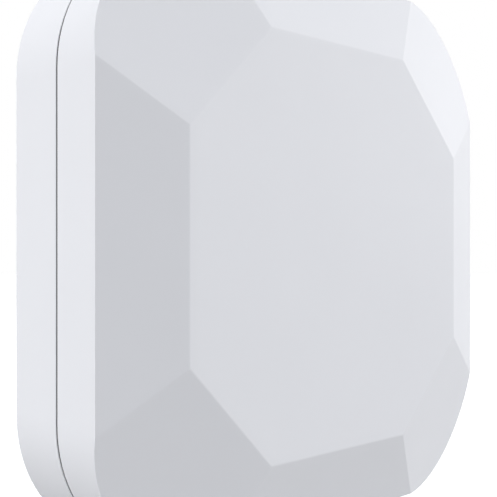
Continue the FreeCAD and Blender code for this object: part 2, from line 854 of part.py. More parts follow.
def cell(name, side, z):
    """One cell along X, with its positive end on the given side."""
    shoulder = "(cell_diameter / 2 - cell_shoulder)"
    radius = "cell_diameter / 2"
    start = f"{BAY_HALF} - cell_nub_length"
    length = "(cell_length - cell_nub_length - cell_foot_rise)"
    items = [
        cross_rod(
            name + "_nub",
            ("cell_nub_radius", "cell_nub_radius"),
            side,
            BAY_HALF,
            "2 * cell_nub_length",
            CELL_AXIS,
            z,
        ),
        cross_rod(name + "_shoulder", (shoulder, radius), side, start, "cell_shoulder", CELL_AXIS, z),
        cross_rod(
            name + "_can",
            (radius, radius),
            side,
            f"{start} - cell_shoulder",
            f"{length} - 2 * cell_shoulder",
            CELL_AXIS,
            z,
        ),
        cross_rod(
            name + "_heel",
            (radius, shoulder),
            side,
            f"{start} - {length} + cell_shoulder",
            "cell_shoulder",
            CELL_AXIS,
            z,
        ),
        cross_rod(
            name + "_foot",
            ("cell_foot_radius", "cell_foot_radius"),
            side,
            f"{start} - {length} + cell_shoulder",
            "cell_shoulder + cell_foot_rise",
            CELL_AXIS,
            z,
        ),
    ]
    return joined(name, items)


def contact(name, side, z):
    """One sheet contact: an upright face, a foot on the board and a hem along its front edge."""
    half = "contact_half_width"

    def sheet_block(word, reach, depth):
        near = f"{side} * {BAY_HALF}"
        far = f"{side} * ({BAY_HALF} + {reach})"
        across = (near, far) if side > 0 else (far, near)
        return block(f"{name}_{word}", across, depth, (f"{z} - {half}", f"{z} + {half}"))

    front = f"({CELL_AXIS} + contact_reach)"
    low = f"({FLOOR_FRONT} + 2 * clearance)"
    face = sheet_block("face", "contact_thickness", (low, front))
    foot = sheet_block("foot", "contact_foot", (BOARD_FRONT, f"{BOARD_FRONT} + contact_thickness"))
    hem = sheet_block("hem", "contact_hem", (f"{front} - contact_thickness", front))
    return joined(name, [face, foot, hem])


def contact_spring(name, side, z):
    """A coned spring from a contact's face to the cell's negative end, with a closed coil at either end."""
    wire = value("spring_wire")
    turns = value("spring_turns")
    base = value("spring_base_radius")
    tip = value("spring_tip_radius")
    start = side * (value(BAY_HALF) - wire / 2)
    end = side * (value(f"cell_length - {BAY_HALF}") + wire / 2)
    centre_y = -value(CELL_AXIS)
    centre_z = value(z)
    level = value("spring_level_turns")

    def place(turn):
        radius = base + (tip - base) * turn / turns
        angle = 2 * math.pi * turn
        return FreeCAD.Vector(
            start + (end - start) * advance(turn, turns, level),
            centre_y + radius * math.cos(angle),
            centre_z + radius * math.sin(angle),
        )

    return set_shape(name, wound_wire(place, turns, (wire, wire), wire))


# Air sensors


def co2_sensor_base():
    """The carbon dioxide sensor's carrier, soldered on the board."""
    depth = (BOARD_FRONT, f"{BOARD_FRONT} + co2_base_height")
    return square_block("co2_sensor_base", "co2_x", CO2_Z, "co2_base_half", depth)


def co2_sensor_can():
    """The sensor's drawn metal can, with a seat for its filter in the front."""
    back = f"{BOARD_FRONT} + co2_base_height"
    front = f"({back} + co2_can_height)"
    can = rounded_prism(
        "co2_can_blank",
        "co2_can_half",
        "co2_can_half",
        "co2_can_radius",
        (back, front),
        x="co2_x",
        z=CO2_Z,
        bevels=[(front, "co2_can_radius / 3")],
    )
    seat = (f"{front} - co2_filter_thickness", f"{front} + overrun")
    return cut("co2_sensor_can", can, [rod("co2_filter_seat", "co2_filter_radius", "co2_x", CO2_Z, seat)])


def co2_filter():
    """The white filter membrane in the can's front."""
    front = f"({BOARD_FRONT} + co2_base_height + co2_can_height)"
    depth = (f"{front} - co2_filter_thickness", front)
    return rod("co2_filter", "co2_filter_radius", "co2_x", CO2_Z, depth)


def air_chip(name, x, z, half):
    """A small sensor chip with an air port in its front."""
    front = f"({BOARD_FRONT} + air_chip_height)"
    chip = square_block(name + "_blank", x, z, half, (BOARD_FRONT, front))
    port = rod(name + "_port", "air_port_radius", x, z, (f"{front} - air_port_depth", f"{front} + overrun"))
    return cut(name, chip, [port])


# Chips and modules


def microcontroller():
    """The main chip, with a row of pads along each side."""
    body = square_block(
        "chip_body", "chip_x", CHIP_Z, "chip_half", (BOARD_FRONT, f"{BOARD_FRONT} + chip_height")
    )
    pads = []
    depth = (BOARD_FRONT, f"{BOARD_FRONT} + chip_pad_height")
    count = int(value("chip_pads_per_side"))
    reach = "(chip_half + chip_pad_reach)"
    for index in range(count):
        along = f"({index} - (chip_pads_per_side - 1) / 2) * chip_pad_pitch"
        width = "chip_pad_width / 2"
        x = (f"chip_x + {along} - {width}", f"chip_x + {along} + {width}")
        z = (f"{CHIP_Z} + {along} - {width}", f"{CHIP_Z} + {along} + {width}")
        full_z = (f"{CHIP_Z} - {reach}", f"{CHIP_Z} + {reach}")
        full_x = (f"chip_x - {reach}", f"chip_x + {reach}")
        pads.append(block(f"chip_pad_column_{index}", x, depth, full_z))
        pads.append(block(f"chip_pad_row_{index}", full_x, depth, z))
    return joined("microcontroller", [body] + pads)


def radio_board():
    """The radio module's own small board."""
    return block(
        "radio_board",
        ("radio_x - radio_half_width", "radio_x + radio_half_width"),
        (BOARD_FRONT, f"{BOARD_FRONT} + radio_board_thickness"),
        ("radio_z - radio_half_height", "radio_z + radio_half_height"),
    )


def radio_shield():
    """The pressed can over the radio module's chips."""
    back = f"({BOARD_FRONT} + radio_board_thickness)"
    front = f"({back} + shield_height)"
    return rounded_prism(
        "radio_shield",
        "shield_half_width",
        "shield_half_height",
        "shield_radius",
        (back, front),
        x="radio_x",
        z="radio_z - shield_shift",
        bevels=[(front, "shield_radius / 3")],
    )


def antenna():
    """A wound aerial along Z, whose wire comes up straight from the board at its lower end."""
    wire = value("antenna_wire")
    turns = value("antenna_turns")
    radius = value("antenna_radius")
    rise = value("antenna_pitch * antenna_turns")
    axis_x = value(f"{BAY_HALF} + contact_foot + antenna_gap + antenna_wire / 2 + antenna_radius")
    foot_z = value("antenna_z")
    board = value(BOARD_FRONT)
    axis_depth = board + radius + wire
    level = value("antenna_level_turns")

    def place(turn):
        angle = 2 * math.pi * turn
        return FreeCAD.Vector(
            axis_x + radius * math.cos(angle),
            -(axis_depth + radius * math.sin(angle)),
            foot_z + rise * advance(turn, turns, level),
        )

    return set_shape("antenna", wound_wire(place, turns, (axis_depth - board, wire), wire))


def capacitor_base():
    """The storage capacitor's moulded foot."""
    depth = (BOARD_FRONT, f"{BOARD_FRONT} + capacitor_base_height")
    return square_block("capacitor_base", "capacitor_x", "capacitor_z", "capacitor_base_half", depth)


def storage_capacitor():
    """The capacitor's round can."""
    back = f"({BOARD_FRONT} + capacitor_base_height)"
    front = f"({back} + capacitor_height)"
    shoulder = f"({front} - capacitor_shoulder)"
    small = "capacitor_radius - capacitor_shoulder"
    can = rod("capacitor_can", "capacitor_radius", "capacitor_x", "capacitor_z", (back, shoulder))
    top = cone(
        "capacitor_top", ("capacitor_radius", small), "capacitor_x", "capacitor_z", (shoulder, front)
    )
    return joined("storage_capacitor", [can, top])


def status_led():
    """The indicator, with its round light well."""
    front = f"({BOARD_FRONT} + led_height)"
    body = square_block("led_blank", "led_x", "led_z", "led_half", (BOARD_FRONT, front))
    depth = (f"{front} - led_well_depth", f"{front} + overrun")
    return cut("status_led", body, [rod("led_well", "led_well_radius", "led_x", "led_z", depth)])


def header_base():
    """The service connector's moulded base."""
    half_x = "header_columns * header_pitch / 2"
    half_z = "header_rows * header_pitch / 2"
    base = block(
        "header_blank",
        (f"header_x - {half_x}", f"header_x + {half_x}"),
        (BOARD_FRONT, f"{BOARD_FRONT} + header_base_height"),
        (f"header_z - {half_z}", f"header_z + {half_z}"),
    )
    depth = (f"{BOARD_FRONT} - overrun", f"{BOARD_FRONT} + header_base_height + overrun")
    holes = [
        square_block(f"header_hole_{number}", x, z, "header_pin_width / 2", depth)
        for number, (x, z) in enumerate(header_places(), start=1)
    ]
    return cut("header_base", base, holes)


def header_places():
    """Where the service connector's pins stand."""
    return [
        (
            f"header_x + ({column} - (header_columns - 1) / 2) * header_pitch",
            f"header_z + ({row} - (header_rows - 1) / 2) * header_pitch",
        )
        for column in range(int(value("header_columns")))
        for row in range(int(value("header_rows")))
    ]


def header_pins():
    """The service connector's square pins."""
    depth = (BOARD_FRONT, f"{BOARD_FRONT} + header_pin_height")
    pins = [
        square_block(f"header_pin_{number}", x, z, "header_pin_width / 2", depth)
        for number, (x, z) in enumerate(header_places(), start=1)
    ]
    return grouped("header_pins", pins)


def small_board_parts():
    """Chip resistors and capacitors in rows beside the main chip and the radio module."""
    parts = []
    fields = (("chip_parts_x", "chip_part_columns"), ("radio_parts_x", "radio_part_columns"))
    depth = (BOARD_FRONT, f"{BOARD_FRONT} + chip_part_height")
    for field_x, columns in fields:
        for column in range(int(value(columns))):
            for row in range(int(value("chip_part_rows"))):
                x = f"({field_x} + {column} * chip_part_pitch_x)"
                z = f"({CHIP_PARTS_Z} + {row} * chip_part_pitch_z)"
                across = (f"{x} - chip_part_length / 2", f"{x} + chip_part_length / 2")
                height = (f"{z} - chip_part_width / 2", f"{z} + chip_part_width / 2")
                parts.append(block(f"{field_x}_{column}_{row}", across, depth, height))
    return grouped("small_board_parts", parts)


# Switches


def tamper_switch():
    """The switch over the plunger, with the bore that the plunger's end works in."""
    body = square_block(
        "tamper_blank",
        "tamper_x",
        "tamper_z",
        "tamper_half",
        (BOARD_FRONT, f"{BOARD_FRONT} + tamper_height"),
    )
    depth = (f"{BOARD_FRONT} - overrun", f"{BOARD_FRONT} + tamper_bore_depth")
    bore = rod("tamper_bore", "plunger_radius + tamper_fit", "tamper_x", "tamper_z", depth)
    return cut("tamper_switch", body, [bore])


def tamper_plunger():
    """The plunger that rests on the wall plate, with a flange that keeps it in."""
    tip = "(plate_thickness + clearance + plunger_radius)"
    top = f"({BOARD_FRONT} + plunger_insertion)"
    flange = f"({FLOOR_FRONT} + plunger_flange_rise)"
    items = [
        ball("plunger_tip", "plunger_radius", "tamper_x", tip, "tamper_z"),
        rod("plunger_shaft", "plunger_radius", "tamper_x", "tamper_z", (tip, top)),
        rod(
            "plunger_flange",
            "plunger_flange_radius",
            "tamper_x",
            "tamper_z",
            (flange, f"{flange} + plunger_flange_thickness"),
        ),
    ]
    return joined("tamper_plunger", items)


def reset_switch():
    """The service switch's square body, with the bore for its button."""
    front = f"({BOARD_FRONT} + reset_height)"
    body = square_block("reset_blank", "reset_x", "reset_z", "reset_half", (BOARD_FRONT, front))
    depth = (f"{front} - reset_bore_depth", f"{front} + overrun")
    bore = rod("reset_bore", "reset_button_radius + reset_fit", "reset_x", "reset_z", depth)
    return cut("reset_switch", body, [bore])


def reset_button():
    """The service switch's round button."""
    front = f"({BOARD_FRONT} + reset_height)"
    depth = (f"{front} - reset_bore_depth + reset_travel + reset_fit", f"{front} + reset_button_height")
    return rod("reset_button", "reset_button_radius", "reset_x", "reset_z", depth)


# Front cover


def faceted_form(name, inset, crease):
    """The cover's form: a prism with a flat front and eight facets, set in by the wall for the inside."""
    body = document.addObject("PartDesign::Body", name)
    if inset:
        half = INNER_HALF
        radius = INNER_RADIUS
        front = INNER_FRONT
        back = f"({COVER_RIM} - overrun)"
        side_start = INNER_FLAT_HALF
        corner_start = f"(({FLAT_HALF} + {FLAT_EDGE_HALF}) / sqrt(2) - front_wall * tan(corner_slope / 2))"
    else:
        half = HALF
        radius = "corner_radius"
        front = CASING_DEPTH
        back = COVER_RIM
        side_start = FLAT_HALF
        corner_start = f"(({FLAT_HALF} + {FLAT_EDGE_HALF}) / sqrt(2))"
    outline = rounded_outline(body, name + "_outline", "XZ_Plane", half, half, radius, ("0", "0", back))
    padded(body, name + "_pad", outline, f"{front} - {back}")
    facets = [
        facet(body, f"{name}_{word}", front, start, slope, turn)
        for word, start, slope, turn in (
            ("side", side_start, "side_slope", 0),
            ("corner", corner_start, "corner_slope", 45),
        )
    ]
    around = body.newObject("PartDesign::PolarPattern", name + "_around")
    around.Originals = facets
    around.Axis = (origin_feature(body, "Y_Axis"), [""])
    around.Angle = 360
    around.Occurrences = 4
    body.Tip = around
    if crease:
        document.recompute()
        level = -value(front)
        names = [
            f"Edge{index}"
            for index, edge in enumerate(around.Shape.Edges, start=1)
            if any(abs(vertex.Point.y - level) < 1e-6 for vertex in edge.Vertexes)
        ]
        rounding = body.newObject("PartDesign::Fillet", name + "_creases")
        rounding.Base = (around, names)
        rounding.setExpression("Radius", formula(crease))
        bevelled(body, name + "_seam_bevel", rounding, COVER_RIM, "seam_bevel")
    return body


def facet(body, name, front, start, slope, turn):
    """One facet: a long wedge taken off the front. It starts some way from the centre and falls away."""
    sketch = body.newObject("Sketcher::SketchObject", name + "_outline")
    sketch.AttachmentSupport = (origin_feature(body, "YZ_Plane"), [""])
    sketch.MapMode = "FlatFace"
    sketch.AttachmentOffset = FreeCAD.Placement(
        FreeCAD.Vector(), FreeCAD.Rotation(FreeCAD.Vector(1, 0, 0), turn)
    )
    far = f"({HALF} * sqrt(2) + facet_overrun)"
    proud = f"({front} + facet_overrun * tan({slope}))"
    near = f"({start} - facet_overrun)"
    low = f"({front} - ({far} - {start}) * tan({slope}))"
    corners = [
        FreeCAD.Vector(-value(proud), value(near), 0),
        FreeCAD.Vector(-value(proud), value(far), 0),
        FreeCAD.Vector(-value(low), value(far), 0),
    ]
    for index in range(3):
        sketch.addGeometry(Part.LineSegment(corners[index], corners[(index + 1) % 3]), False)
    for index in range(3):
        sketch.addConstraint(Sketcher.Constraint("Coincident", index, 2, (index + 1) % 3, 1))
    sketch.addConstraint(Sketcher.Constraint("Vertical", 0))
    sketch.addConstraint(Sketcher.Constraint("Horizontal", 1))
    held = {
        "proud": (Sketcher.Constraint("DistanceX", 0, 1, -1, 1, value(proud)), proud),
        "near": (Sketcher.Constraint("DistanceY", -1, 1, 0, 1, value(near)), near),
        "far": (Sketcher.Constraint("DistanceY", -1, 1, 1, 1, value(far)), far),
        "low": (Sketcher.Constraint("DistanceX", 2, 1, -1, 1, value(low)), low),
    }
    for word, (constraint, text) in held.items():
        index = sketch.addConstraint(constraint)
        sketch.renameConstraint(index, word)
        sketch.setExpression(f"Constraints.{word}", formula(text))
    pocket = body.newObject("PartDesign::Pocket", name)
    pocket.Profile = sketch
    pocket.Type = "ThroughAll"
    pocket.SideType = "Symmetric"
    return pocket


def chamber_walls(name, depth, bottom):
    """The three walls of the air chamber, open towards the lower wall, from one depth to another."""
    half = "chamber_rib / 2"
    walls = [
        block(
            f"{name}_side_{side + 1}",
            (f"{side} * {CHAMBER_HALF} - {half}", f"{side} * {CHAMBER_HALF} + {half}"),
            depth,
            (bottom, f"{CHAMBER_TOP} + {half}"),
        )
        for side in (-1, 1)
    ]
    walls.append(
        block(
            f"{name}_top",
            (f"-{CHAMBER_HALF} - {half}", f"{CHAMBER_HALF} + {half}"),
            depth,
            (f"{CHAMBER_TOP} - {half}", f"{CHAMBER_TOP} + {half}"),
        )
    )
    return walls


def vent_row(name, low, high):
    """A row of air slots through the wall between two heights."""
    body = document.addObject("PartDesign::Body", name)
    shift = (
        "-(vent_count - 1) / 2 * vent_pitch",
        f"-({VENT_START} + {VENT_LENGTH} / 2)",
        low,
    )
    outline = rounded_outline(
        body,
        name + "_outline",
        "XY_Plane",
        "vent_width / 2",
        f"{VENT_LENGTH} / 2",
        "vent_corner_radius",
        shift,
    )
    pad = padded(body, name + "_pad", outline, f"({high}) - ({low})")
    row_of = body.newObject("PartDesign::LinearPattern", name + "_row")
    row_of.Originals = [pad]
    row_of.Direction = (origin_feature(body, "X_Axis"), [""])
    row_of.setExpression("Length", formula("(vent_count - 1) * vent_pitch"))
    row_of.setExpression("Occurrences", formula("vent_count"))
    body.Tip = row_of
    return body


def front_cover():
    """The faceted shell, with bosses, the air chamber's walls, the light pipe's socket and air slots."""
    outer = faceted_form("cover_form", False, "crease_radius")
    inner = faceted_form("cover_hollow", True, "")
    rebate_half = f"({HALF} - cover_skin)"
    rebate_depth = (f"{COVER_RIM} - overrun", f"{LIP_TOP} + clearance")
    rebate = rounded_prism(
        "cover_rebate", rebate_half, rebate_half, "corner_radius - cover_skin", rebate_depth
    )
    kept = []
    tools = []
    for number, (x, z) in enumerate(cover_screw_places(), start=1):
        kept.append(rod(f"cover_boss_{number}", "cover_boss_radius", x, z, (COVER_RIM, CASING_DEPTH)))
        bore = (f"{COVER_RIM} - overrun", f"{COVER_RIM} + boss_bore_depth")
        tools.append(rod(f"cover_boss_bore_{number}", "insert_radius", x, z, bore))
    low_end = f"-({INNER_HALF} - clearance)"
    kept += chamber_walls("chamber_edge", (COVER_RIM, CASING_DEPTH), low_end)
    kept += chamber_walls("chamber_wall", (f"{LIP_TOP} + clearance", CASING_DEPTH), f"-{HALF}")
    socket = (f"{INNER_FRONT} - pipe_boss_height", CASING_DEPTH)
    kept.append(rod("pipe_boss", "pipe_boss_radius", "led_x", "led_z", socket))
    pipe_bore = (f"{INNER_FRONT} - pipe_boss_height - overrun", f"{CASING_DEPTH} - light_window")
    tools.append(rod("pipe_bore", "pipe_radius", "led_x", "led_z", pipe_bore))
    tools.append(vent_row("lower_vents", f"-{HALF} - overrun", f"-{INNER_HALF} + mesh_thickness"))
    tools.append(vent_row("upper_vents", f"{INNER_HALF} - mesh_thickness", f"{HALF} + overrun"))
    space = cut("cover_space", joined("cover_room", [inner, rebate]), kept)
    return cut("front_cover", outer, [space] + tools)


def threaded_inserts():
    """Four brass inserts in the cover's bosses."""
    start = f"({COVER_RIM} + insert_inset)"
    depth = (start, f"{start} + insert_length")
    through = (f"{start} - overrun", f"{start} + insert_length + overrun")
    inserts = []
    for number, (x, z) in enumerate(cover_screw_places(), start=1):
        sleeve = rod(f"insert_sleeve_{number}", "insert_radius", x, z, depth)
        bore = rod(f"insert_bore_{number}", "cover_shank_radius + insert_fit", x, z, through)
        inserts.append(cut(f"insert_{number}", sleeve, [bore]))
    return grouped("threaded_inserts", inserts)


def light_pipe():
    """The clear rod between the indicator and the thin place in the front wall."""
    depth = (f"{BOARD_FRONT} + led_height + pipe_gap", f"{CASING_DEPTH} - light_window")
    return rod("light_pipe", "pipe_radius", "led_x", "led_z", depth)


def sensor_gasket():
    """The foam strip on the edge of the air chamber's walls."""
    depth = (f"{BOARD_FRONT} + gasket_gap", COVER_RIM)
    return joined("sensor_gasket", chamber_walls("gasket", depth, f"-({INNER_HALF} - clearance)"))


def dust_mesh(name, side):
    """A strip of mesh on the inside of the wall, over a row of air slots."""
    depth = (f"{VENT_START} - mesh_margin", f"{VENT_START} + {VENT_LENGTH} + mesh_margin")
    if side > 0:
        height = (f"{INNER_HALF} - mesh_thickness", INNER_HALF)
    else:
        height = (f"-{INNER_HALF}", f"-{INNER_HALF} + mesh_thickness")
    return block(name, (f"-{MESH_HALF}", MESH_HALF), depth, height)


def cell_pads():
    """Two foam strips in the cover that keep the cells down."""
    depth = (f"{INNER_FRONT} - pad_thickness", INNER_FRONT)
    height = ("lower_cell_z - pad_width", f"{UPPER_CELL_Z} + pad_width")
    pads = [
        block(
            f"cell_pad_{side + 1}",
            (f"{side} * cradle_across - pad_width / 2", f"{side} * cradle_across + pad_width / 2"),
            depth,
            height,
        )
        for side in (-1, 1)
    ]
    return grouped("cell_pads", pads)


parts = [
    wall_plate(),
    rear_housing(),
    cover_screws(),
    main_board(),
    board_screws(),
    cell("upper_cell", 1, UPPER_CELL_Z),
    cell("lower_cell", -1, "lower_cell_z"),
    contact("upper_positive_contact", 1, UPPER_CELL_Z),
    contact("lower_positive_contact", -1, "lower_cell_z"),
    contact("upper_negative_contact", -1, UPPER_CELL_Z),
    contact("lower_negative_contact", 1, "lower_cell_z"),
    contact_spring("upper_contact_spring", -1, UPPER_CELL_Z),
    contact_spring("lower_contact_spring", 1, "lower_cell_z"),
    co2_sensor_base(),
    co2_sensor_can(),
    co2_filter(),
    air_chip("humidity_sensor", "humidity_x", HUMIDITY_Z, "humidity_half"),
    air_chip("gas_sensor", "gas_x", HUMIDITY_Z, "gas_half"),
    air_chip("pressure_sensor", "pressure_x", PRESSURE_Z, "pressure_half"),
    microcontroller(),
    radio_board(),
    radio_shield(),
    antenna(),
    capacitor_base(),
    storage_capacitor(),
    status_led(),
    header_base(),
    header_pins(),
    small_board_parts(),
    tamper_switch(),
    tamper_plunger(),
    reset_switch(),
    reset_button(),
    front_cover(),
    threaded_inserts(),
    light_pipe(),
    sensor_gasket(),
    dust_mesh("lower_dust_mesh", -1),
    dust_mesh("upper_dust_mesh", 1),
    cell_pads(),
]

document.recompute()
failed = [item.Name for item in document.Objects if {"Invalid", "Error"} & set(item.State)]
if failed:
    raise SystemExit(f"these objects failed: {failed}")
for part in parts:
    part.Label = part.Name
    if part.Shape.isNull() or not part.Shape.isValid() or not part.Shape.Solids:
        raise SystemExit(f"{part.Name} has no valid solid")

os.makedirs("parts", exist_ok=True)
for part in parts:
    part.Shape.exportStep(f"parts/{part.Label}.step")
    print(f"{part.Label}: {len(part.Shape.Solids)} solids, {part.Shape.Volume:.1f} cubic millimetres")
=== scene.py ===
import math

import bmesh
import bpy
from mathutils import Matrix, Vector


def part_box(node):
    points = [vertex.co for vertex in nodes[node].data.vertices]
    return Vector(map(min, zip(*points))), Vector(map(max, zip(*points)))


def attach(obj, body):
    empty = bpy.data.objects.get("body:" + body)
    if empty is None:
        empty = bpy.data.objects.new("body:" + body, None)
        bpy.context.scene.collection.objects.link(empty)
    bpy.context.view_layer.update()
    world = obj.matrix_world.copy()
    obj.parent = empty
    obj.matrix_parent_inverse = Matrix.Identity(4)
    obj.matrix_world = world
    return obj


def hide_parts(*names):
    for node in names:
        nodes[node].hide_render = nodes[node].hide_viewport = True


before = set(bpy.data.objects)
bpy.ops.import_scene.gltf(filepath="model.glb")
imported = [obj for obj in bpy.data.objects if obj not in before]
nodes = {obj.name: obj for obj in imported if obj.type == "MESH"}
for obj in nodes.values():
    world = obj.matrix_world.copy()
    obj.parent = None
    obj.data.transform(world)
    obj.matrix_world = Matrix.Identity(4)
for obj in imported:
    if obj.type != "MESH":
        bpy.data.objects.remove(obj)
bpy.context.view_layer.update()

# Wall plate
# The bracket that is screwed to the wall: off-white plastic, moulded in one shot with its four hooks, in the
# coarser texture of a part that stays hidden. Four round marks show where the mould's pins pushed it out.

MM = 0.001


class Finish:
    """A surface finish under construction, with short calls for the nodes that it needs."""

    def __init__(self, name, color, roughness, metallic=0.0):
        self.material = bpy.data.materials.new(name)
        self.material.use_nodes = True
        self.material.diffuse_color = (*color, 1.0)
        self.tree = self.material.node_tree
        self.shader = self.tree.nodes["Principled BSDF"]
        self.shader.inputs["Base Color"].default_value = (*color, 1.0)
        self.shader.inputs["Roughness"].default_value = roughness
        self.shader.inputs["Metallic"].default_value = metallic
        self.place = self.tree.nodes.new("ShaderNodeTexCoord").outputs["Object"]
        self.color = color

    def join(self, source, target):
        self.tree.links.new(source, target)

    def noise(self, size, detail=2.0, scale=(1.0, 1.0, 1.0)):
        """A noise with features of about the size, in metres, and finer along an axis with more scale."""
        mapping = self.tree.nodes.new("ShaderNodeMapping")
        mapping.inputs["Scale"].default_value = scale
        self.join(self.place, mapping.inputs["Vector"])
        noise = self.tree.nodes.new("ShaderNodeTexNoise")
        noise.inputs["Scale"].default_value = 1.0 / size
        noise.inputs["Detail"].default_value = detail
        self.join(mapping.outputs["Vector"], noise.inputs["Vector"])
        return noise.outputs["Fac"]

    def math(self, operation, first, second=None):
        """A sum on sockets and numbers."""
        node = self.tree.nodes.new("ShaderNodeMath")
        node.operation = operation
        for socket, part in zip(node.inputs, (first, second)):
            if isinstance(part, (int, float)):
                socket.default_value = part
            elif part is not None:
                self.join(part, socket)
        return node.outputs["Value"]

    def off(self, axis, middle):
        """The distance from a place on one axis of the frame, on either side, in metres."""
        split = self.tree.nodes.new("ShaderNodeSeparateXYZ")
        self.join(self.place, split.inputs["Vector"])
        return self.math("ABSOLUTE", self.math("SUBTRACT", split.outputs[axis], middle))

    def reach(self, first, second):
        """The direct distance that two distances square to each other make."""
        squares = [self.math("MULTIPLY", side, side) for side in (first, second)]
        return self.math("SQRT", self.math("ADD", *squares))

    def between(self, factor, low, high):
        """A number that runs from low to high with the factor."""
        ramp = self.tree.nodes.new("ShaderNodeMapRange")
        ramp.inputs["To Min"].default_value = low
        ramp.inputs["To Max"].default_value = high
        self.join(factor, ramp.inputs["Value"])
        return ramp.outputs["Result"]

    def tint(self, factor, first, second):
        """Colours the surface between two colours by the factor. The first may be a socket."""
        mix = self.tree.nodes.new("ShaderNodeMix")
        mix.data_type = "RGBA"
        self.join(factor, mix.inputs["Factor"])
        if isinstance(first, tuple):
            mix.inputs["A"].default_value = (*first, 1.0)
        else:
            self.join(first, mix.inputs["A"])
        mix.inputs["B"].default_value = (*second, 1.0)
        self.join(mix.outputs["Result"], self.shader.inputs["Base Color"])
        return mix.outputs["Result"]

    def mottle(self, size, low, high):
        """Lighter and darker patches, as shares of the colour."""
        return self.tint(self.noise(size, 1.0), shade(self.color, low), shade(self.color, high))

    def rough(self, factor, low, high):
        """A roughness that runs from low to high with the factor."""
        self.join(self.between(factor, low, high), self.shader.inputs["Roughness"])

    def bump(self, height, depth):
        """Raises the surface by the height, which is worth at most the given depth in metres."""
        bump = self.tree.nodes.new("ShaderNodeBump")
        bump.inputs["Distance"].default_value = depth
        self.join(height, bump.inputs["Height"])
        last = self.shader.inputs["Normal"]
        if last.is_linked:
            self.join(last.links[0].from_socket, bump.inputs["Normal"])
        self.join(bump.outputs["Normal"], last)


def shade(color, share):
    """The colour, lighter or darker by a share."""
    return tuple(part * share for part in color)


def dress(finish, *names):
    """Gives CAD nodes their finish."""
    for name in names:
        for place in nodes[name].material_slots:
            place.material = finish.material


def moulded(name, color, roughness, grain, depth):
    """Moulded plastic: a spark-eroded grain, an uneven gloss and a faint cloudiness of colour."""
    cloud = 18 * MM
    gloss_patch = 3 * MM
    gloss_spread = 0.04
    finish = Finish(name, color, roughness)
    finish.mottle(cloud, low=0.985, high=1.01)
    finish.rough(finish.noise(gloss_patch), roughness - gloss_spread, roughness + gloss_spread)
    finish.bump(finish.noise(grain, detail=3.0), depth)
    return finish


PLATE_WHITE = (0.78, 0.79, 0.80)
plate_finish = moulded("wall_plate_plastic", PLATE_WHITE, roughness=0.55, grain=0.35 * MM, depth=0.02 * MM)
dress(plate_finish, "wall_plate")


def piece(name, mesh, finish, body):
    """A new piece from its mesh, with its finish and its body."""
    bmesh.ops.recalc_face_normals(mesh, faces=mesh.faces)
    data = bpy.data.meshes.new(name)
    mesh.to_mesh(data)
    mesh.free()
    made = bpy.data.objects.new(name, data)
    bpy.context.scene.collection.objects.link(made)
    data.materials.append(finish.material)
    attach(made, body)
    return made


def band(mesh, first, second):
    """A band of faces between two loops that have as many corners."""
    for index, corner in enumerate(first):
        after = (index + 1) % len(first)
        mesh.faces.new((corner, first[after], second[after], second[index]))


def slab(mesh, outline, face, height, lean=0.0):
    """A low form on a face: its outline's (x, z) points, its height, and how far its top draws in."""
    middle = sum((Vector(point) for point in outline), Vector((0, 0))) / len(outline)
    foot = []
    top = []
    for point in outline:
        inward = (middle - Vector(point)).normalized() * lean
        foot.append(mesh.verts.new((point[0], face, point[1])))
        top.append(mesh.verts.new((point[0] + inward.x, face - height, point[1] + inward.y)))
    mesh.faces.new(foot)
    mesh.faces.new(top)
    band(mesh, foot, top)


# A raised arrow, which shows which way up the plate goes
PLATE_THICKNESS = 2 * MM
RELIEF = 0.2 * MM
ARROW_HEAD = 4 * MM
ARROW_STEM = 1.4 * MM
ARROW_LENGTH = 8 * MM
arrow_outline = [
    (-ARROW_STEM, -ARROW_LENGTH),
    (ARROW_STEM, -ARROW_LENGTH),
    (ARROW_STEM, 0),
    (ARROW_HEAD, 0),
    (0, ARROW_HEAD),
    (-ARROW_HEAD, 0),
    (-ARROW_STEM, 0),
]
arrow = bmesh.new()
slab(arrow, arrow_outline, -PLATE_THICKNESS, RELIEF)
piece("up_arrow", arrow, plate_finish, "wall_plate")


def round_outline(x, z, radius, count=20):
    """Points round a circle."""
    turns = [2 * math.pi * index / count for index in range(count)]
    return [(x + radius * math.cos(turn), z + radius * math.sin(turn)) for turn in turns]


def bridge(mesh, loops):
    """Closes a ring from its loops of corners, the last back to the first."""
    for first, second in zip(loops, loops[1:] + loops[:1]):
        band(mesh, first, second)


def ring(mesh, outer, inner, face, height):
    """A flat ring raised from a face, between two outlines with as many (x, z) points."""
    loops = []
    for outline, depth in ((outer, face), (outer, face - height), (inner, face - height), (inner, face)):
        loops.append([mesh.verts.new((x, depth, z)) for x, z in outline])
    bridge(mesh, loops)


def four_places(x, z, across, up):
    """The places that lie as far across and as far up or down from a middle, on both sides."""
    return [(x + side_x * across, z + side_z * up) for side_x in (-1, 1) for side_z in (-1, 1)]


PIN_ACROSS = 21 * MM
PIN_UP = 24 * MM
PIN_RADIUS = 2.5 * MM
PIN_POINTS = 32
FLASH_WIDTH = 0.2 * MM
FLASH_HEIGHT = 0.1 * MM
pin_marks = bmesh.new()
for x, z in four_places(0, 0, PIN_ACROSS, PIN_UP):
    outer = round_outline(x, z, PIN_RADIUS, PIN_POINTS)
    inner = round_outline(x, z, PIN_RADIUS - FLASH_WIDTH, PIN_POINTS)
    ring(pin_marks, outer, inner, -PLATE_THICKNESS, FLASH_HEIGHT)
piece("pin_marks", pin_marks, plate_finish, "wall_plate")
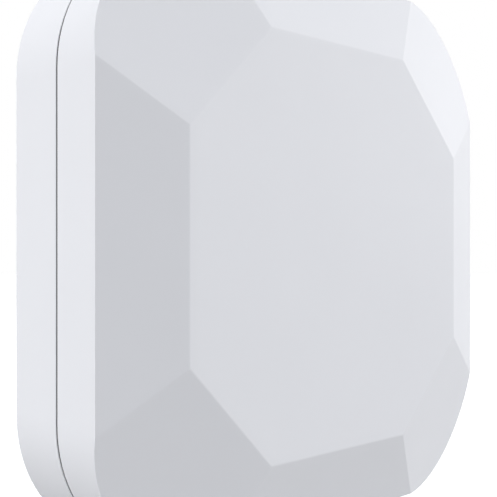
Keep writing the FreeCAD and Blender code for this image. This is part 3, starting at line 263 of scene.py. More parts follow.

# Rear housing
# The rear shell, in the same white plastic as the cover, hangs on the plate's hooks. A thin near-black strip
# lies just under the surface at the foot of its lip, in the parting line: painted shade for the shadow in
# that gap.

CASE_WHITE = (0.84, 0.845, 0.87)
case_finish = moulded("white_case_plastic", CASE_WHITE, roughness=0.58, grain=0.22 * MM, depth=0.006 * MM)
case_finish.shader.inputs["Specular IOR Level"].default_value = 0.4
dress(case_finish, "rear_housing")


def rounded_rectangle(middle, half, radius, steps):
    """Points round a rectangle with round corners."""
    points = []
    for corner, (side_x, side_z) in enumerate(((1, 1), (-1, 1), (-1, -1), (1, -1))):
        x = middle.x + side_x * (half.x - radius)
        z = middle.z + side_z * (half.z - radius)
        for step in range(steps + 1):
            turn = math.pi / 2 * (corner + step / steps)
            points.append((x + radius * math.cos(turn), z + radius * math.sin(turn)))
    return points


SEAM_GAP = 0.3 * MM
CORNER_RADIUS = 19.3 * MM
CORNER_STEPS = 24
SHADE_STRIP_SETBACK = 0.08 * MM
SHADE_STRIP_WIDTH = 1.0 * MM
SHADE_STRIP_PLAY = 0.02 * MM
# Near-black painted shade, used in the parting line and in the drilled holes
shade_black = Finish("painted_shade_black", (0.018, 0.018, 0.02), roughness=0.75)
shade_black.mottle(2 * MM, low=0.7, high=1.3)
shade_black.bump(shade_black.noise(0.2 * MM), depth=0.01 * MM)
cover_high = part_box("front_cover")[1]
shade_strip_rims = []
for inset in (SHADE_STRIP_SETBACK, SHADE_STRIP_SETBACK + SHADE_STRIP_WIDTH):
    half = Vector((cover_high.x - inset, 0, cover_high.x - inset))
    shade_strip_rims.append(rounded_rectangle(Vector(), half, CORNER_RADIUS - inset, CORNER_STEPS))
# Painted shade: a near-black strip in the seam, set back only a little, so that the parting line reads dark
seam_shade_strip = bmesh.new()
ring(seam_shade_strip, *shade_strip_rims, cover_high.y + SEAM_GAP - SHADE_STRIP_PLAY, SEAM_GAP - 2 * SHADE_STRIP_PLAY)
piece("seam_shade_strip", seam_shade_strip, shade_black, "housing")

# Circuit board
# Pressed glass and resin under a green solder mask. Etched copper tracks show through the mask as raised,
# lighter lines. The rings of the drilled holes and the seats of the screws are bare, with a gold plating.


def span(name):
    """The middle of a CAD node and half its size."""
    low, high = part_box(name)
    return (low + high) / 2, (high - low) / 2


MASK_GREEN = (0.012, 0.115, 0.055)
GLASS_THREAD = 0.45 * MM
mask = Finish("solder_mask", MASK_GREEN, roughness=0.32)
mask.shader.inputs["Coat Weight"].default_value = 0.25
warp = mask.noise(GLASS_THREAD, detail=1.0, scale=(1.0, 1.0, 4.0))
weft = mask.noise(GLASS_THREAD, detail=1.0, scale=(4.0, 1.0, 1.0))
glass_cloth = mask.math("MAXIMUM", warp, weft)
mask.tint(glass_cloth, shade(MASK_GREEN, 0.75), shade(MASK_GREEN, 1.35))
mask.bump(glass_cloth, depth=0.01 * MM)
dress(mask, "main_board")

board, board_half = span("main_board")
BOARD_FACE = board.y - board_half.y
BOARD_BACK = board.y + board_half.y
COPPER_HEIGHT = 0.035 * MM
BEND_HEIGHT = 1.03 * COPPER_HEIGHT
BEND_POINTS = 9
SIGNAL_WIDTH = 0.24 * MM
SUPPLY_WIDTH = 0.6 * MM
NO_LENGTH = 0.001 * MM
track_mask = Finish("mask_over_copper", (0.032, 0.20, 0.095), roughness=0.28)
track_mask.mottle(1.5 * MM, low=0.85, high=1.15)
track_mask.bump(track_mask.noise(0.2 * MM), depth=0.005 * MM)
tracks = bmesh.new()


def track(route, width=SIGNAL_WIDTH):
    """A copper track along its (x, z) points, round at every bend."""
    bends = [Vector(route[0])]
    for point in route[1:]:
        if (Vector(point) - bends[-1]).length > NO_LENGTH:
            bends.append(Vector(point))
    for start, end in zip(bends, bends[1:]):
        along = end - start
        side = Vector((-along.y, along.x)).normalized() * width / 2
        slab(tracks, [start - side, end - side, end + side, start + side], BOARD_FACE, COPPER_HEIGHT)
    for x, z in bends:
        slab(tracks, round_outline(x, z, width / 2, BEND_POINTS), BOARD_FACE, BEND_HEIGHT)


def level(start, end, turn):
    """A route that starts level, leaves at 45 degrees at x = turn, and ends level."""
    run = math.copysign(abs(end[1] - start[1]), end[0] - start[0])
    return [start, (turn, start[1]), (turn + run, end[1]), end]


def upright(start, end, turn):
    """A route that starts upright, leaves at 45 degrees at z = turn, and ends upright."""
    run = math.copysign(abs(end[0] - start[0]), end[1] - start[1])
    return [start, (start[0], turn), (end[0], turn + run), end]


def lanes(count, pitch):
    """How far each line of an even row lies from the row's middle."""
    return [(lane - (count - 1) / 2) * pitch for lane in range(count)]


# From the chip's right side to the radio module, and from its top to a row of drilled holes
CHIP_PITCH = 0.5 * MM
CHIP_LANES = 6
CHIP_ESCAPE = 0.8 * MM
RADIO_PITCH = 0.9 * MM
RADIO_TURN = 3 * MM
RADIO_STAGGER = 0.3 * MM
HOLE_PITCH = 1.3 * MM
HOLE_RISE = 4 * MM
chip, chip_half = span("microcontroller")
radio, radio_half = span("radio_board")
chip_left = chip.x - chip_half.x
chip_right = chip.x + chip_half.x
chip_top = chip.z + chip_half.z
chip_bottom = chip.z - chip_half.z
drilled = []
for lane, (leave, arrive) in enumerate(zip(lanes(CHIP_LANES, CHIP_PITCH), lanes(CHIP_LANES, RADIO_PITCH))):
    end = (radio.x - radio_half.x, radio.z + arrive)
    track(level((chip_right, chip.z + leave), end, chip_right + RADIO_TURN + RADIO_STAGGER * lane))
for leave, arrive in zip(lanes(CHIP_LANES, CHIP_PITCH), lanes(CHIP_LANES, HOLE_PITCH)):
    end = (chip.x + arrive, chip_top + HOLE_RISE)
    track(upright((chip.x + leave, chip_top), end, chip_top + CHIP_ESCAPE))
    drilled.append(end)

# From the chip's left side to the reset switch above and the tamper switch below
SWITCH_LANES = 4
PAD_GAP = 0.5 * MM
RESET_UP = 1.2 * MM
RESET_PITCH = 1.4 * MM
TAMPER_DOWN = 1.4 * MM
TAMPER_PITCH = 0.98 * MM
TAMPER_TURN = 1.5 * MM
TAMPER_STAGGER = 0.2 * MM
reset, reset_half = span("reset_switch")
tamper, tamper_half = span("tamper_switch")
switch_rows = [lanes(SWITCH_LANES, pitch) for pitch in (CHIP_PITCH, RESET_PITCH, TAMPER_PITCH)]
for lane, (leave, to_reset, to_tamper) in enumerate(zip(*switch_rows)):
    end = (reset.x + reset_half.x + PAD_GAP, reset.z + to_reset)
    track(level((chip_left, chip.z + RESET_UP + leave), end, chip_left - CHIP_ESCAPE))
    end = (tamper.x + tamper_half.x + PAD_GAP, tamper.z + to_tamper)
    turn = chip_left - TAMPER_TURN - TAMPER_STAGGER * lane
    track(level((chip_left, chip.z - TAMPER_DOWN + leave), end, turn))

# From the chip's lower side to the feet of the small air sensors
FOOT_SPREADS = {"humidity_sensor": 0.6 * MM, "pressure_sensor": 0.6 * MM, "gas_sensor": 0.4 * MM}
sensor_feet = []
for name, spread in FOOT_SPREADS.items():
    middle, half = span(name)
    for side in (-1, 1):
        sensor_feet.append((middle.x + side * spread, middle.z + half.z))
for lane, end in enumerate(sensor_feet):
    start = (chip.x + CHIP_PITCH * (lane + 0.5), chip_bottom)
    turn = chip_bottom - CHIP_ESCAPE - CHIP_PITCH * (len(sensor_feet) - 1 - lane)
    track(upright(start, end, turn))

# From the service connector to three drilled holes
PIN_PITCH = 2.54 * MM
HEADER_RUN = 1.2 * MM
HEADER_END = (-9 * MM, -21.05 * MM)
HEADER_LANE = 0.45 * MM
HEADER_HOLE_STEP = 0.8 * MM
header, header_half = span("header_base")
header_right = header.x + header_half.x
for row in (-1, 0, 1):
    end = (HEADER_END[0], HEADER_END[1] + row * HEADER_LANE)
    track(level((header_right, header.z + row * PIN_PITCH), end, header_right + HEADER_RUN))
    drilled.append((end[0] + row * HEADER_HOLE_STEP, end[1]))

# From the cells' contacts down both arms to the capacitor and the radio module
SUPPLY_ACROSS = 31.9 * MM
SUPPLY_TOP = 20 * MM
SUPPLY_TURN = -0.6 * MM
SUPPLY_SHIFT = 2.0 * MM
for side, name in ((-1, "capacitor_base"), (1, "radio_board")):
    load, load_half = span(name)
    end = (load.x + side * SUPPLY_SHIFT, load.z + load_half.z)
    track(upright((side * SUPPLY_ACROSS, SUPPLY_TOP), end, SUPPLY_TURN), SUPPLY_WIDTH)
piece("board_tracks", tracks, track_mask, "housing")

# The bare seats of the screws, a ring round each drilled hole, and a near-black disc of painted shade in each
# hole
SCREW_PLACES = ((35 * MM, 1 * MM), (22 * MM, -34.5 * MM))
SCREW_SEAT = 2.5 * MM
SCREW_HOLE = 1.5 * MM
SEAT_POINTS = 32
HOLE_RING = 0.42 * MM
HOLE = 0.2 * MM
RING_HEIGHT = 1.2 * COPPER_HEIGHT
HOLE_HEIGHT = 0.3 * COPPER_HEIGHT
EDGE_PITCH = 4 * MM
EDGE_GAP = 1.1 * MM
LOWER_EDGE_HOLES = range(-4, 5)
SIDE_EDGE_HOLES = range(-5, -1)
bare_gold = Finish("board_gold", (0.80, 0.60, 0.28), roughness=0.28, metallic=1.0)
bare_gold.rough(bare_gold.noise(0.4 * MM), low=0.22, high=0.42)
bare_gold.bump(bare_gold.noise(0.3 * MM), depth=0.004 * MM)
for place in LOWER_EDGE_HOLES:
    drilled.append((place * EDGE_PITCH, board.z - board_half.z + EDGE_GAP))
for place in SIDE_EDGE_HOLES:
    for side in (-1, 1):
        drilled.append((side * (board_half.x - EDGE_GAP), place * EDGE_PITCH))
rings = bmesh.new()
holes = bmesh.new()
for x, z in SCREW_PLACES:
    for side in (-1, 1):
        seat = round_outline(side * x, z, SCREW_SEAT, SEAT_POINTS)
        ring(rings, seat, round_outline(side * x, z, SCREW_HOLE, SEAT_POINTS), BOARD_FACE, COPPER_HEIGHT)
for x, z in drilled:
    ring(rings, round_outline(x, z, HOLE_RING), round_outline(x, z, HOLE), BOARD_FACE, RING_HEIGHT)
    # Painted shade: a thin near-black disc that stands for the dark inside of the hole
    slab(holes, round_outline(x, z, HOLE), BOARD_FACE, HOLE_HEIGHT)
piece("hole_rings", rings, bare_gold, "housing")
piece("painted_hole_shade", holes, shade_black, "housing")

# Printed lines
# White ink, screen-printed on the mask, frames the larger parts and shows which way round each cell goes. A
# dot on the main chip marks its first corner.

INK_HEIGHT = 0.05 * MM
LINE_WIDTH = 0.16 * MM
ink = Finish("white_ink", (0.76, 0.77, 0.75), roughness=0.6)
ink.mottle(0.5 * MM, low=0.9, high=1.08)
ink.bump(ink.noise(0.15 * MM), depth=0.004 * MM)
lines = bmesh.new()


def rectangle(x, z, half_x, half_z):
    """The corners of a rectangle."""
    left, right = x - half_x, x + half_x
    bottom, top = z - half_z, z + half_z
    return [(left, bottom), (right, bottom), (right, top), (left, top)]


line_gaps = {
    "microcontroller": 0.5 * MM,
    "radio_board": 0.9 * MM,
    "reset_switch": 1.0 * MM,
    "tamper_switch": 1.0 * MM,
    "capacitor_base": 0.8 * MM,
    "header_base": 0.5 * MM,
    "status_led": 0.8 * MM,
    "co2_sensor_base": 0.9 * MM,
    "humidity_sensor": 0.5 * MM,
    "gas_sensor": 0.5 * MM,
    "pressure_sensor": 0.5 * MM,
}
for name, gap in line_gaps.items():
    middle, half = span(name)
    inner = rectangle(middle.x, middle.z, half.x + gap, half.z + gap)
    outer = rectangle(middle.x, middle.z, half.x + gap + LINE_WIDTH, half.z + gap + LINE_WIDTH)
    ring(lines, outer, inner, BOARD_FACE, INK_HEIGHT)

# A minus beside each cell's spring, and a plus at its other end
MARK_REACH = 0.9 * MM
MARK_BAR = 0.2 * MM
MARK_ACROSS = 30.2 * MM
MARK_UP = 1.8 * MM
CROSSING_HEIGHT = 1.1 * INK_HEIGHT
upper_cell, upper_half = span("upper_cell")
lower_cell, lower_half = span("lower_cell")
between_cells = (upper_cell.z + lower_cell.z) / 2
for side in (1, -1):
    z = between_cells + side * MARK_UP
    slab(lines, rectangle(-side * MARK_ACROSS, z, MARK_REACH, MARK_BAR), BOARD_FACE, INK_HEIGHT)
    slab(lines, rectangle(side * MARK_ACROSS, z, MARK_REACH, MARK_BAR), BOARD_FACE, INK_HEIGHT)
    slab(lines, rectangle(side * MARK_ACROSS, z, MARK_BAR, MARK_REACH), BOARD_FACE, CROSSING_HEIGHT)

CORNER_DOT = 0.35 * MM
CORNER_INSET = 1.0 * MM
DOT_HEIGHT = 0.02 * MM
dot = round_outline(chip_left + CORNER_INSET, chip_top - CORNER_INSET, CORNER_DOT)
slab(lines, dot, chip.y - chip_half.y, DOT_HEIGHT)
piece("printed_lines", lines, ink, "housing")

# Board and cover screws
# Zinc-plated steel with a hexagon socket, cold formed, with rolled threads. The board's are short pan heads,
# and the cover's come from behind, through the rear housing.


def metal(name, color, roughness, tooth, depth, scale=(1.0, 1.0, 1.0)):
    """Bare or plated metal, with an uneven gloss and a fine tooth that may be drawn out along one axis."""
    low, high = roughness
    patch = 6 * tooth
    finish = Finish(name, color, low, metallic=1.0)
    marks = finish.noise(tooth, detail=3.0, scale=scale)
    finish.mottle(patch, low=0.93, high=1.04)
    finish.rough(marks, low, high)
    finish.bump(marks, depth)
    return finish


zinc = metal("zinc_plate", (0.50, 0.51, 0.53), roughness=(0.26, 0.42), tooth=0.5 * MM, depth=0.004 * MM)
dress(zinc, "board_screws", "cover_screws")

# Cell contacts and springs
# Nickel-plated steel strip, stamped, bent and soldered down by its foot, and a cone of spring wire that is
# welded to the strip at each negative end.

nickel = metal(
    "nickel_strip",
    (0.55, 0.53, 0.49),
    roughness=(0.24, 0.36),
    tooth=0.5 * MM,
    depth=0.002 * MM,
    scale=(1.0, 1.0, 0.15),
)
spring_wire = metal(
    "spring_wire", (0.52, 0.51, 0.49), roughness=(0.22, 0.36), tooth=0.3 * MM, depth=0.003 * MM
)
contacts = [f"{row}_{end}_contact" for row in ("upper", "lower") for end in ("positive", "negative")]
dress(nickel, *contacts)
dress(spring_wire, "upper_contact_spring", "lower_contact_spring")

# Solder
# Tin alloy that melted in an oven into smooth fillets, round the contacts' feet, the aerial's leg and the
# terminals of the larger parts, and round the header's pins on the back of the board.

BAY_EDGE = 28.5 * MM
FOOT_FILLET = 0.4 * MM
FILLET_HEIGHT = 0.22 * MM
FILLET_LEAN = 0.3 * MM
solder = metal("solder", (0.54, 0.55, 0.56), roughness=(0.24, 0.38), tooth=0.6 * MM, depth=0.015 * MM)
fillets = bmesh.new()
for name in contacts:
    middle, half = span(name)
    outer_edge = abs(middle.x) + half.x + FOOT_FILLET
    across = math.copysign((outer_edge + BAY_EDGE) / 2, middle.x)
    pad = rectangle(across, middle.z, (outer_edge - BAY_EDGE) / 2, half.z + FOOT_FILLET)
    slab(fillets, pad, BOARD_FACE, FILLET_HEIGHT, FILLET_LEAN)


def side_fillets(name, count, pitch, half_x, half_z, height):
    """Terminals along the left and right sides of a part."""
    middle, half = span(name)
    for side in (-1, 1):
        for off in lanes(count, pitch):
            terminal = rectangle(middle.x + side * (half.x + half_x / 2), middle.z + off, half_x, half_z)
            slab(fillets, terminal, BOARD_FACE, height, lean=0.5 * min(half_x, half_z))


for name in ("reset_switch", "tamper_switch"):
    side_fillets(name, count=2, pitch=4.4 * MM, half_x=0.8 * MM, half_z=0.45 * MM, height=0.3 * MM)
side_fillets("co2_sensor_base", count=5, pitch=2.0 * MM, half_x=0.7 * MM, half_z=0.4 * MM, height=0.35 * MM)
side_fillets("radio_board", count=10, pitch=1.9 * MM, half_x=0.5 * MM, half_z=0.5 * MM, height=0.5 * MM)
side_fillets("status_led", count=1, pitch=0, half_x=0.5 * MM, half_z=1.1 * MM, height=0.3 * MM)
side_fillets("capacitor_base", count=1, pitch=0, half_x=0.6 * MM, half_z=0.9 * MM, height=0.3 * MM)

# Round the service connector's pins, on the back
PIN_FILLET = 0.8 * MM
PIN_STUB = 0.7 * MM
PIN_LEAN = 0.5 * MM
for across in lanes(2, PIN_PITCH):
    for up in lanes(3, PIN_PITCH):
        stub = round_outline(header.x + across, header.z + up, PIN_FILLET)
        slab(fillets, stub, BOARD_BACK, -PIN_STUB, PIN_LEAN)

# Round the aerial's leg
LEG_PLACE = (37.4 * MM, 6 * MM)
LEG_FILLET = 0.9 * MM
LEG_HEIGHT = 0.5 * MM
LEG_LEAN = 0.4 * MM
slab(fillets, round_outline(*LEG_PLACE, LEG_FILLET), BOARD_FACE, LEG_HEIGHT, LEG_LEAN)
piece("solder_fillets", fillets, solder, "housing")

# Air sensors
# The carbon dioxide sensor is a drawn can on a black carrier, with a white fibre membrane in its front. By it
# stand three small chips, one in black resin and two under metal lids, each with one air port.

black = moulded("black_resin", (0.022, 0.022, 0.025), roughness=0.5, grain=0.12 * MM, depth=0.006 * MM)
can = metal("drawn_can", (0.49, 0.49, 0.50), roughness=(0.28, 0.42), tooth=0.5 * MM, depth=0.003 * MM)
dress(black, "co2_sensor_base", "humidity_sensor")
dress(can, "co2_sensor_can", "gas_sensor", "pressure_sensor")

membrane = Finish("white_membrane", (0.76, 0.76, 0.74), roughness=0.9)
fibres = membrane.noise(0.12 * MM, detail=4.0, scale=(1.0, 1.0, 0.4))
membrane.tint(fibres, (0.66, 0.66, 0.64), (0.82, 0.82, 0.80))
membrane.bump(fibres, depth=0.04 * MM)
dress(membrane, "co2_filter")

# Main chip
# A black epoxy package whose tinned pads stick out a little along all four sides.

PAD_REACH = 0.13 * MM
epoxy = Finish("chip_epoxy", (0.03, 0.03, 0.033), roughness=0.5)
furthest = epoxy.math("MAXIMUM", epoxy.off("X", chip.x), epoxy.off("Z", chip.z))
on_pad = epoxy.math("GREATER_THAN", furthest, chip_half.x - PAD_REACH)
epoxy.tint(on_pad, epoxy.mottle(2 * MM, low=0.85, high=1.15), (0.62, 0.63, 0.64))
epoxy.join(on_pad, epoxy.shader.inputs["Metallic"])
epoxy.rough(epoxy.noise(0.3 * MM), low=0.42, high=0.58)
epoxy.bump(epoxy.noise(0.1 * MM, detail=3.0), depth=0.006 * MM)
dress(epoxy, "microcontroller")

# Radio module
# A small green board of its own, soldered on by its edges, under a can of tinned steel with a raised middle
# and four dimples where it snaps on.

dress(mask, "radio_board")

SHIELD_BORDER = 0.8 * MM
DIMPLE_INSET = 2.2 * MM
SNAP_DIMPLE = 0.45 * MM
STEP_SHADE_WIDTH = 0.07 * MM
shield, shield_half = span("radio_shield")
tinned = metal(
    "tinned_shield",
    (0.52, 0.52, 0.51),
    roughness=(0.3, 0.44),
    tooth=0.6 * MM,
    depth=0.003 * MM,
    scale=(0.3, 1.0, 1.0),
)
shield_x = tinned.off("X", shield.x)
shield_z = tinned.off("Z", shield.z)
step_x = tinned.math("SUBTRACT", shield_x, shield_half.x - SHIELD_BORDER)
step_z = tinned.math("SUBTRACT", shield_z, shield_half.z - SHIELD_BORDER)
off_step = tinned.math("ABSOLUTE", tinned.math("MAXIMUM", step_x, step_z))
dimple_x = tinned.math("SUBTRACT", shield_x, shield_half.x - DIMPLE_INSET)
dimple_z = tinned.math("SUBTRACT", shield_z, shield_half.z - DIMPLE_INSET)
off_dimple = tinned.math("SUBTRACT", tinned.reach(dimple_x, dimple_z), SNAP_DIMPLE)
off_dimple = tinned.math("ABSOLUTE", off_dimple)
# Painted shade: a dark line along the step round the raised middle and round the rim of each dimple
step_dimple_shade = tinned.math("LESS_THAN", tinned.math("MINIMUM", off_step, off_dimple), STEP_SHADE_WIDTH)
tinned.tint(step_dimple_shade, tinned.mottle(3.6 * MM, low=0.9, high=1.05), (0.22, 0.22, 0.22))
dress(tinned, "radio_shield")


def pierced_slab(mesh, outline, holes, face, height):
    """A low plate with holes right through it, raised from a face. All outlines are (x, z) points."""
    levels = []
    for depth in (face, face - height):
        rims = []
        edges = []
        for points in (outline, *holes):
            corners = [mesh.verts.new((x, depth, z)) for x, z in points]
            edges += [mesh.edges.new(pair) for pair in zip(corners, corners[1:] + corners[:1])]
            rims.append(corners)
        bmesh.ops.triangle_fill(mesh, use_beauty=True, edges=edges)
        levels.append(rims)
    for foot, top in zip(*levels):
        band(mesh, foot, top)


SHIELD_CORNER = 1 * MM
SHIELD_STEPS = 6
SHIELD_RISE = 0.15 * MM
dimple_places = four_places(shield.x, shield.z, shield_half.x - DIMPLE_INSET, shield_half.z - DIMPLE_INSET)
dimples = [round_outline(x, z, SNAP_DIMPLE) for x, z in dimple_places]
border = Vector((SHIELD_BORDER, 0, SHIELD_BORDER))
raised_outline = rounded_rectangle(shield, shield_half - border, SHIELD_CORNER, SHIELD_STEPS)
raised = bmesh.new()
pierced_slab(raised, raised_outline, dimples, shield.y - shield_half.y, SHIELD_RISE)
piece("shield_middle", raised, tinned, "housing")

# Aerial
# Bare copper wire, wound on a mandrel, with one leg that goes down into the board.

copper = metal("copper_wire", (0.76, 0.40, 0.21), roughness=(0.2, 0.34), tooth=0.8 * MM, depth=0.003 * MM)
dress(copper, "antenna")

# Storage capacitor
# A drawn aluminium can, crimped into a black foot, with a dark field printed over its negative side.

PRINTED_REACH = 2.2 * MM
PRINTED_EDGE = 0.1 * MM
cap, cap_half = span("storage_capacitor")
aluminium = Finish("capacitor_can", (0.56, 0.57, 0.58), roughness=0.3, metallic=1.0)
on_top = aluminium.math("LESS_THAN", aluminium.off("Y", cap.y - cap_half.y), PRINTED_EDGE)
on_side = aluminium.math("LESS_THAN", aluminium.off("X", cap.x - cap_half.x), PRINTED_REACH)
printed = aluminium.math("MULTIPLY", on_top, on_side)
aluminium.tint(printed, aluminium.mottle(2 * MM, low=0.95, high=1.04), (0.03, 0.03, 0.035))
aluminium.join(aluminium.between(printed, 1.0, 0.0), aluminium.shader.inputs["Metallic"])
aluminium.rough(aluminium.noise(0.8 * MM), low=0.26, high=0.4)
aluminium.bump(aluminium.noise(0.2 * MM, detail=3.0), depth=0.004 * MM)
dress(aluminium, "storage_capacitor")
dress(black, "capacitor_base")

# Indicator
# A white package whose round well is filled with yellow phosphor gel.

WELL_RADIUS = 0.92 * MM
led = span("status_led")[0]
package = Finish("indicator_package", (0.80, 0.80, 0.76), roughness=0.35)
from_middle = package.reach(package.off("X", led.x), package.off("Z", led.z))
in_well = package.math("LESS_THAN", from_middle, WELL_RADIUS)
package.tint(in_well, package.mottle(1 * MM, low=0.96, high=1.02), (0.83, 0.60, 0.10))
package.bump(package.noise(0.3 * MM), depth=0.005 * MM)
dress(package, "status_led")

# Service connector
# Six square pins with a gold plating, pressed through a black moulded strip.

gold = metal("pin_gold", (0.82, 0.62, 0.28), roughness=(0.2, 0.32), tooth=0.4 * MM, depth=0.003 * MM)
dress(gold, "header_pins")
dress(black, "header_base")

# Chip resistors and capacitors
# Fired ceramic blocks, dark or tan by their batch, whose ends are dipped in silver and tinned.

ceramic = Finish("fired_ceramic", (0.30, 0.20, 0.13), roughness=0.6)
batch = ceramic.math("GREATER_THAN", ceramic.noise(3.5 * MM, detail=0.0), 0.5)
ceramic.tint(batch, (0.06, 0.055, 0.05), (0.40, 0.28, 0.18))
ceramic.bump(ceramic.noise(0.1 * MM), depth=0.006 * MM)
dress(ceramic, "small_board_parts")

PART_LENGTH = 1.6 * MM
PART_WIDTH = 0.9 * MM
PART_HEIGHT = 0.6 * MM
PART_PITCH_X = 2.6 * MM
PART_PITCH_Z = 1.9 * MM
PART_ROWS = 3
LEFT_COLUMNS = 4
RIGHT_COLUMNS = 2
END_HALF = 0.18 * MM
END_SKIN = 0.03 * MM
small_low, small_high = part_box("small_board_parts")
columns = [small_low.x + PART_LENGTH / 2 + PART_PITCH_X * place for place in range(LEFT_COLUMNS)]
columns += [small_high.x - PART_LENGTH / 2 - PART_PITCH_X * place for place in range(RIGHT_COLUMNS)]
part_ends = bmesh.new()
for x in columns:
    for row in range(PART_ROWS):
        z = small_low.z + PART_WIDTH / 2 + PART_PITCH_Z * row
        for side in (-1, 1):
            end = x + side * (PART_LENGTH / 2 + END_SKIN - END_HALF)
            wrap = rectangle(end, z, END_HALF, PART_WIDTH / 2 + END_SKIN)
            slab(part_ends, wrap, BOARD_FACE, PART_HEIGHT + END_SKIN, lean=END_SKIN)
piece("part_ends", part_ends, solder, "housing")

# Switches
# Each has a black moulded body under a stamped steel plate, which four melted pegs hold. The reset switch's
# button comes up through its plate, and the tamper switch's plunger goes down through the board.

STEEL = 0.12 * MM
STEEL_MARGIN = 0.15 * MM
PLATE_POINTS = 36
PEG_RADIUS = 0.36 * MM
PEG_INSET = 0.75 * MM
PEG_LEAN = 0.08 * MM
PEG_POINTS = 16
SWITCH_BLACK = (0.05, 0.05, 0.055)
switch_black = moulded("switch_plastic", SWITCH_BLACK, roughness=0.45, grain=0.15 * MM, depth=0.006 * MM)
dress(switch_black, "tamper_switch", "reset_switch")
dress(black, "tamper_plunger", "reset_button")
steel_plates = bmesh.new()
pegs = bmesh.new()


def steel_plate(middle, half, hole):
    """A steel plate on a switch, with a round hole in it and a peg at each corner."""
    face = middle.y - half.y
    inner = []
    outer = []
    for index in range(PLATE_POINTS):
        turn = 2 * math.pi * (index + 0.5) / PLATE_POINTS
        way = Vector((math.cos(turn), math.sin(turn)))
        edge = min((half.x - STEEL_MARGIN) / abs(way.x), (half.z - STEEL_MARGIN) / abs(way.y))
        inner.append((middle.x + way.x * hole, middle.z + way.y * hole))
        outer.append((middle.x + way.x * edge, middle.z + way.y * edge))
    ring(steel_plates, outer, inner, face, STEEL)
    for x, z in four_places(middle.x, middle.z, half.x - PEG_INSET, half.z - PEG_INSET):
        slab(pegs, round_outline(x, z, PEG_RADIUS, PEG_POINTS), face - STEEL, STEEL, PEG_LEAN)


BUTTON_PLAY = 0.3 * MM
DIMPLE_RADIUS = 0.9 * MM
DIMPLE_PLAY = 0.05 * MM
DIMPLE_POINTS = 24
button_half = span("reset_button")[1]
steel_plate(reset, reset_half, button_half.x + BUTTON_PLAY)
steel_plate(tamper, tamper_half, DIMPLE_RADIUS)
tamper_dimple = round_outline(tamper.x, tamper.z, DIMPLE_RADIUS - DIMPLE_PLAY, DIMPLE_POINTS)
slab(pegs, tamper_dimple, tamper.y - tamper_half.y, STEEL / 2)
piece("switch_plates", steel_plates, can, "housing")
piece("switch_pegs", pegs, switch_black, "housing")

# Cells
# Two lithium cells in plain blue shrink sleeves, which leave the nickel-plated steel bare at both ends. A
# white ring insulates the shoulder round each positive nub.

SLEEVE_BLUE = (0.045, 0.16, 0.25)
SLEEVE_LAP = 6.75 * MM
NUB_LENGTH = 1.2 * MM
RING_OUTER = 6.5 * MM
RING_INNER = 3.1 * MM
RING_THICKNESS = 0.25 * MM
RING_POINTS = 48
paper = moulded("insulating_paper", (0.72, 0.72, 0.70), roughness=0.7, grain=0.2 * MM, depth=0.02 * MM)
insulators = bmesh.new()
for name, middle, half, way in (
    ("upper_cell", upper_cell, upper_half, 1),
    ("lower_cell", lower_cell, lower_half, -1),
):
    sleeve = Finish(name + "_sleeve", SLEEVE_BLUE, roughness=0.3)
    from_axis = sleeve.reach(sleeve.off("Y", middle.y), sleeve.off("Z", middle.z))
    bare = sleeve.math("LESS_THAN", from_axis, SLEEVE_LAP)
    sleeve.tint(bare, sleeve.mottle(6 * MM, low=0.9, high=1.1), (0.62, 0.61, 0.58))
    sleeve.join(bare, sleeve.shader.inputs["Metallic"])
    wrinkle = sleeve.noise(2.5 * MM, scale=(0.2, 1.0, 1.0))
    sleeve.rough(wrinkle, low=0.24, high=0.38)
    sleeve.bump(wrinkle, depth=0.03 * MM)
    dress(sleeve, name)
    shoulder = middle.x + way * (half.x - NUB_LENGTH)
    proud = shoulder + way * RING_THICKNESS
    section = ((RING_OUTER, shoulder), (RING_OUTER, proud), (RING_INNER, proud), (RING_INNER, shoulder))
    loops = []
    for radius, x in section:
        around = round_outline(middle.y, middle.z, radius, RING_POINTS)
        loops.append([insulators.verts.new((x, y, z)) for y, z in around])
    bridge(insulators, loops)
piece("cell_insulators", insulators, paper, "housing")

# Front cover
# One shot of white satin plastic: the flat front, four facets along the sides and four on the corners. Its
# bosses, the air chamber's walls and the air slots are moulded with it.

dress(case_finish, "front_cover")

# Threaded inserts
# Knurled brass, pressed into the cover's bosses while hot.

brass = metal("turned_brass", (0.72, 0.52, 0.24), roughness=(0.22, 0.36), tooth=0.3 * MM, depth=0.006 * MM)
dress(brass, "threaded_inserts")

# Light pipe
# A rod of clear acrylic, moulded and polished, that takes the indicator's light to the front wall.

acrylic = Finish("clear_acrylic", (0.95, 0.97, 0.98), roughness=0.08)
acrylic.shader.inputs["Transmission Weight"].default_value = 0.9
acrylic.shader.inputs["IOR"].default_value = 1.49
acrylic.bump(acrylic.noise(2.0 * MM), depth=0.004 * MM)
dress(acrylic, "light_pipe")

# Chamber seal and cell pads
# Black foam strip, die-cut and stuck into the cover, with edges that the cutter leaves a little rounded. One
# seals the air chamber to the board, and two keep the cells down.

PORE = 0.35 * MM
foam = Finish("black_foam", (0.055, 0.055, 0.06), roughness=0.92)
pores = foam.tree.nodes.new("ShaderNodeTexVoronoi")
pores.inputs["Scale"].default_value = 1.0 / PORE
foam.join(foam.place, pores.inputs["Vector"])
foam.tint(pores.outputs["Distance"], (0.02, 0.02, 0.022), (0.09, 0.09, 0.095))
foam.bump(pores.outputs["Distance"], depth=0.08 * MM)


def foam_piece(name, outlines, stands_for, soft_edge):
    """Foam cut to its outlines, in the space of a CAD node, with softened edges."""
    low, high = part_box(stands_for)
    mesh = bmesh.new()
    for outline in outlines:
        slab(mesh, outline, high.y, high.y - low.y)
    bmesh.ops.recalc_face_normals(mesh, faces=mesh.faces)
    bmesh.ops.bevel(mesh, geom=mesh.edges[:], offset=soft_edge, segments=3, profile=0.6, affect="EDGES")
    made = piece(name, mesh, foam, "cover")
    made.data.shade_smooth()
    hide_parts(stands_for)


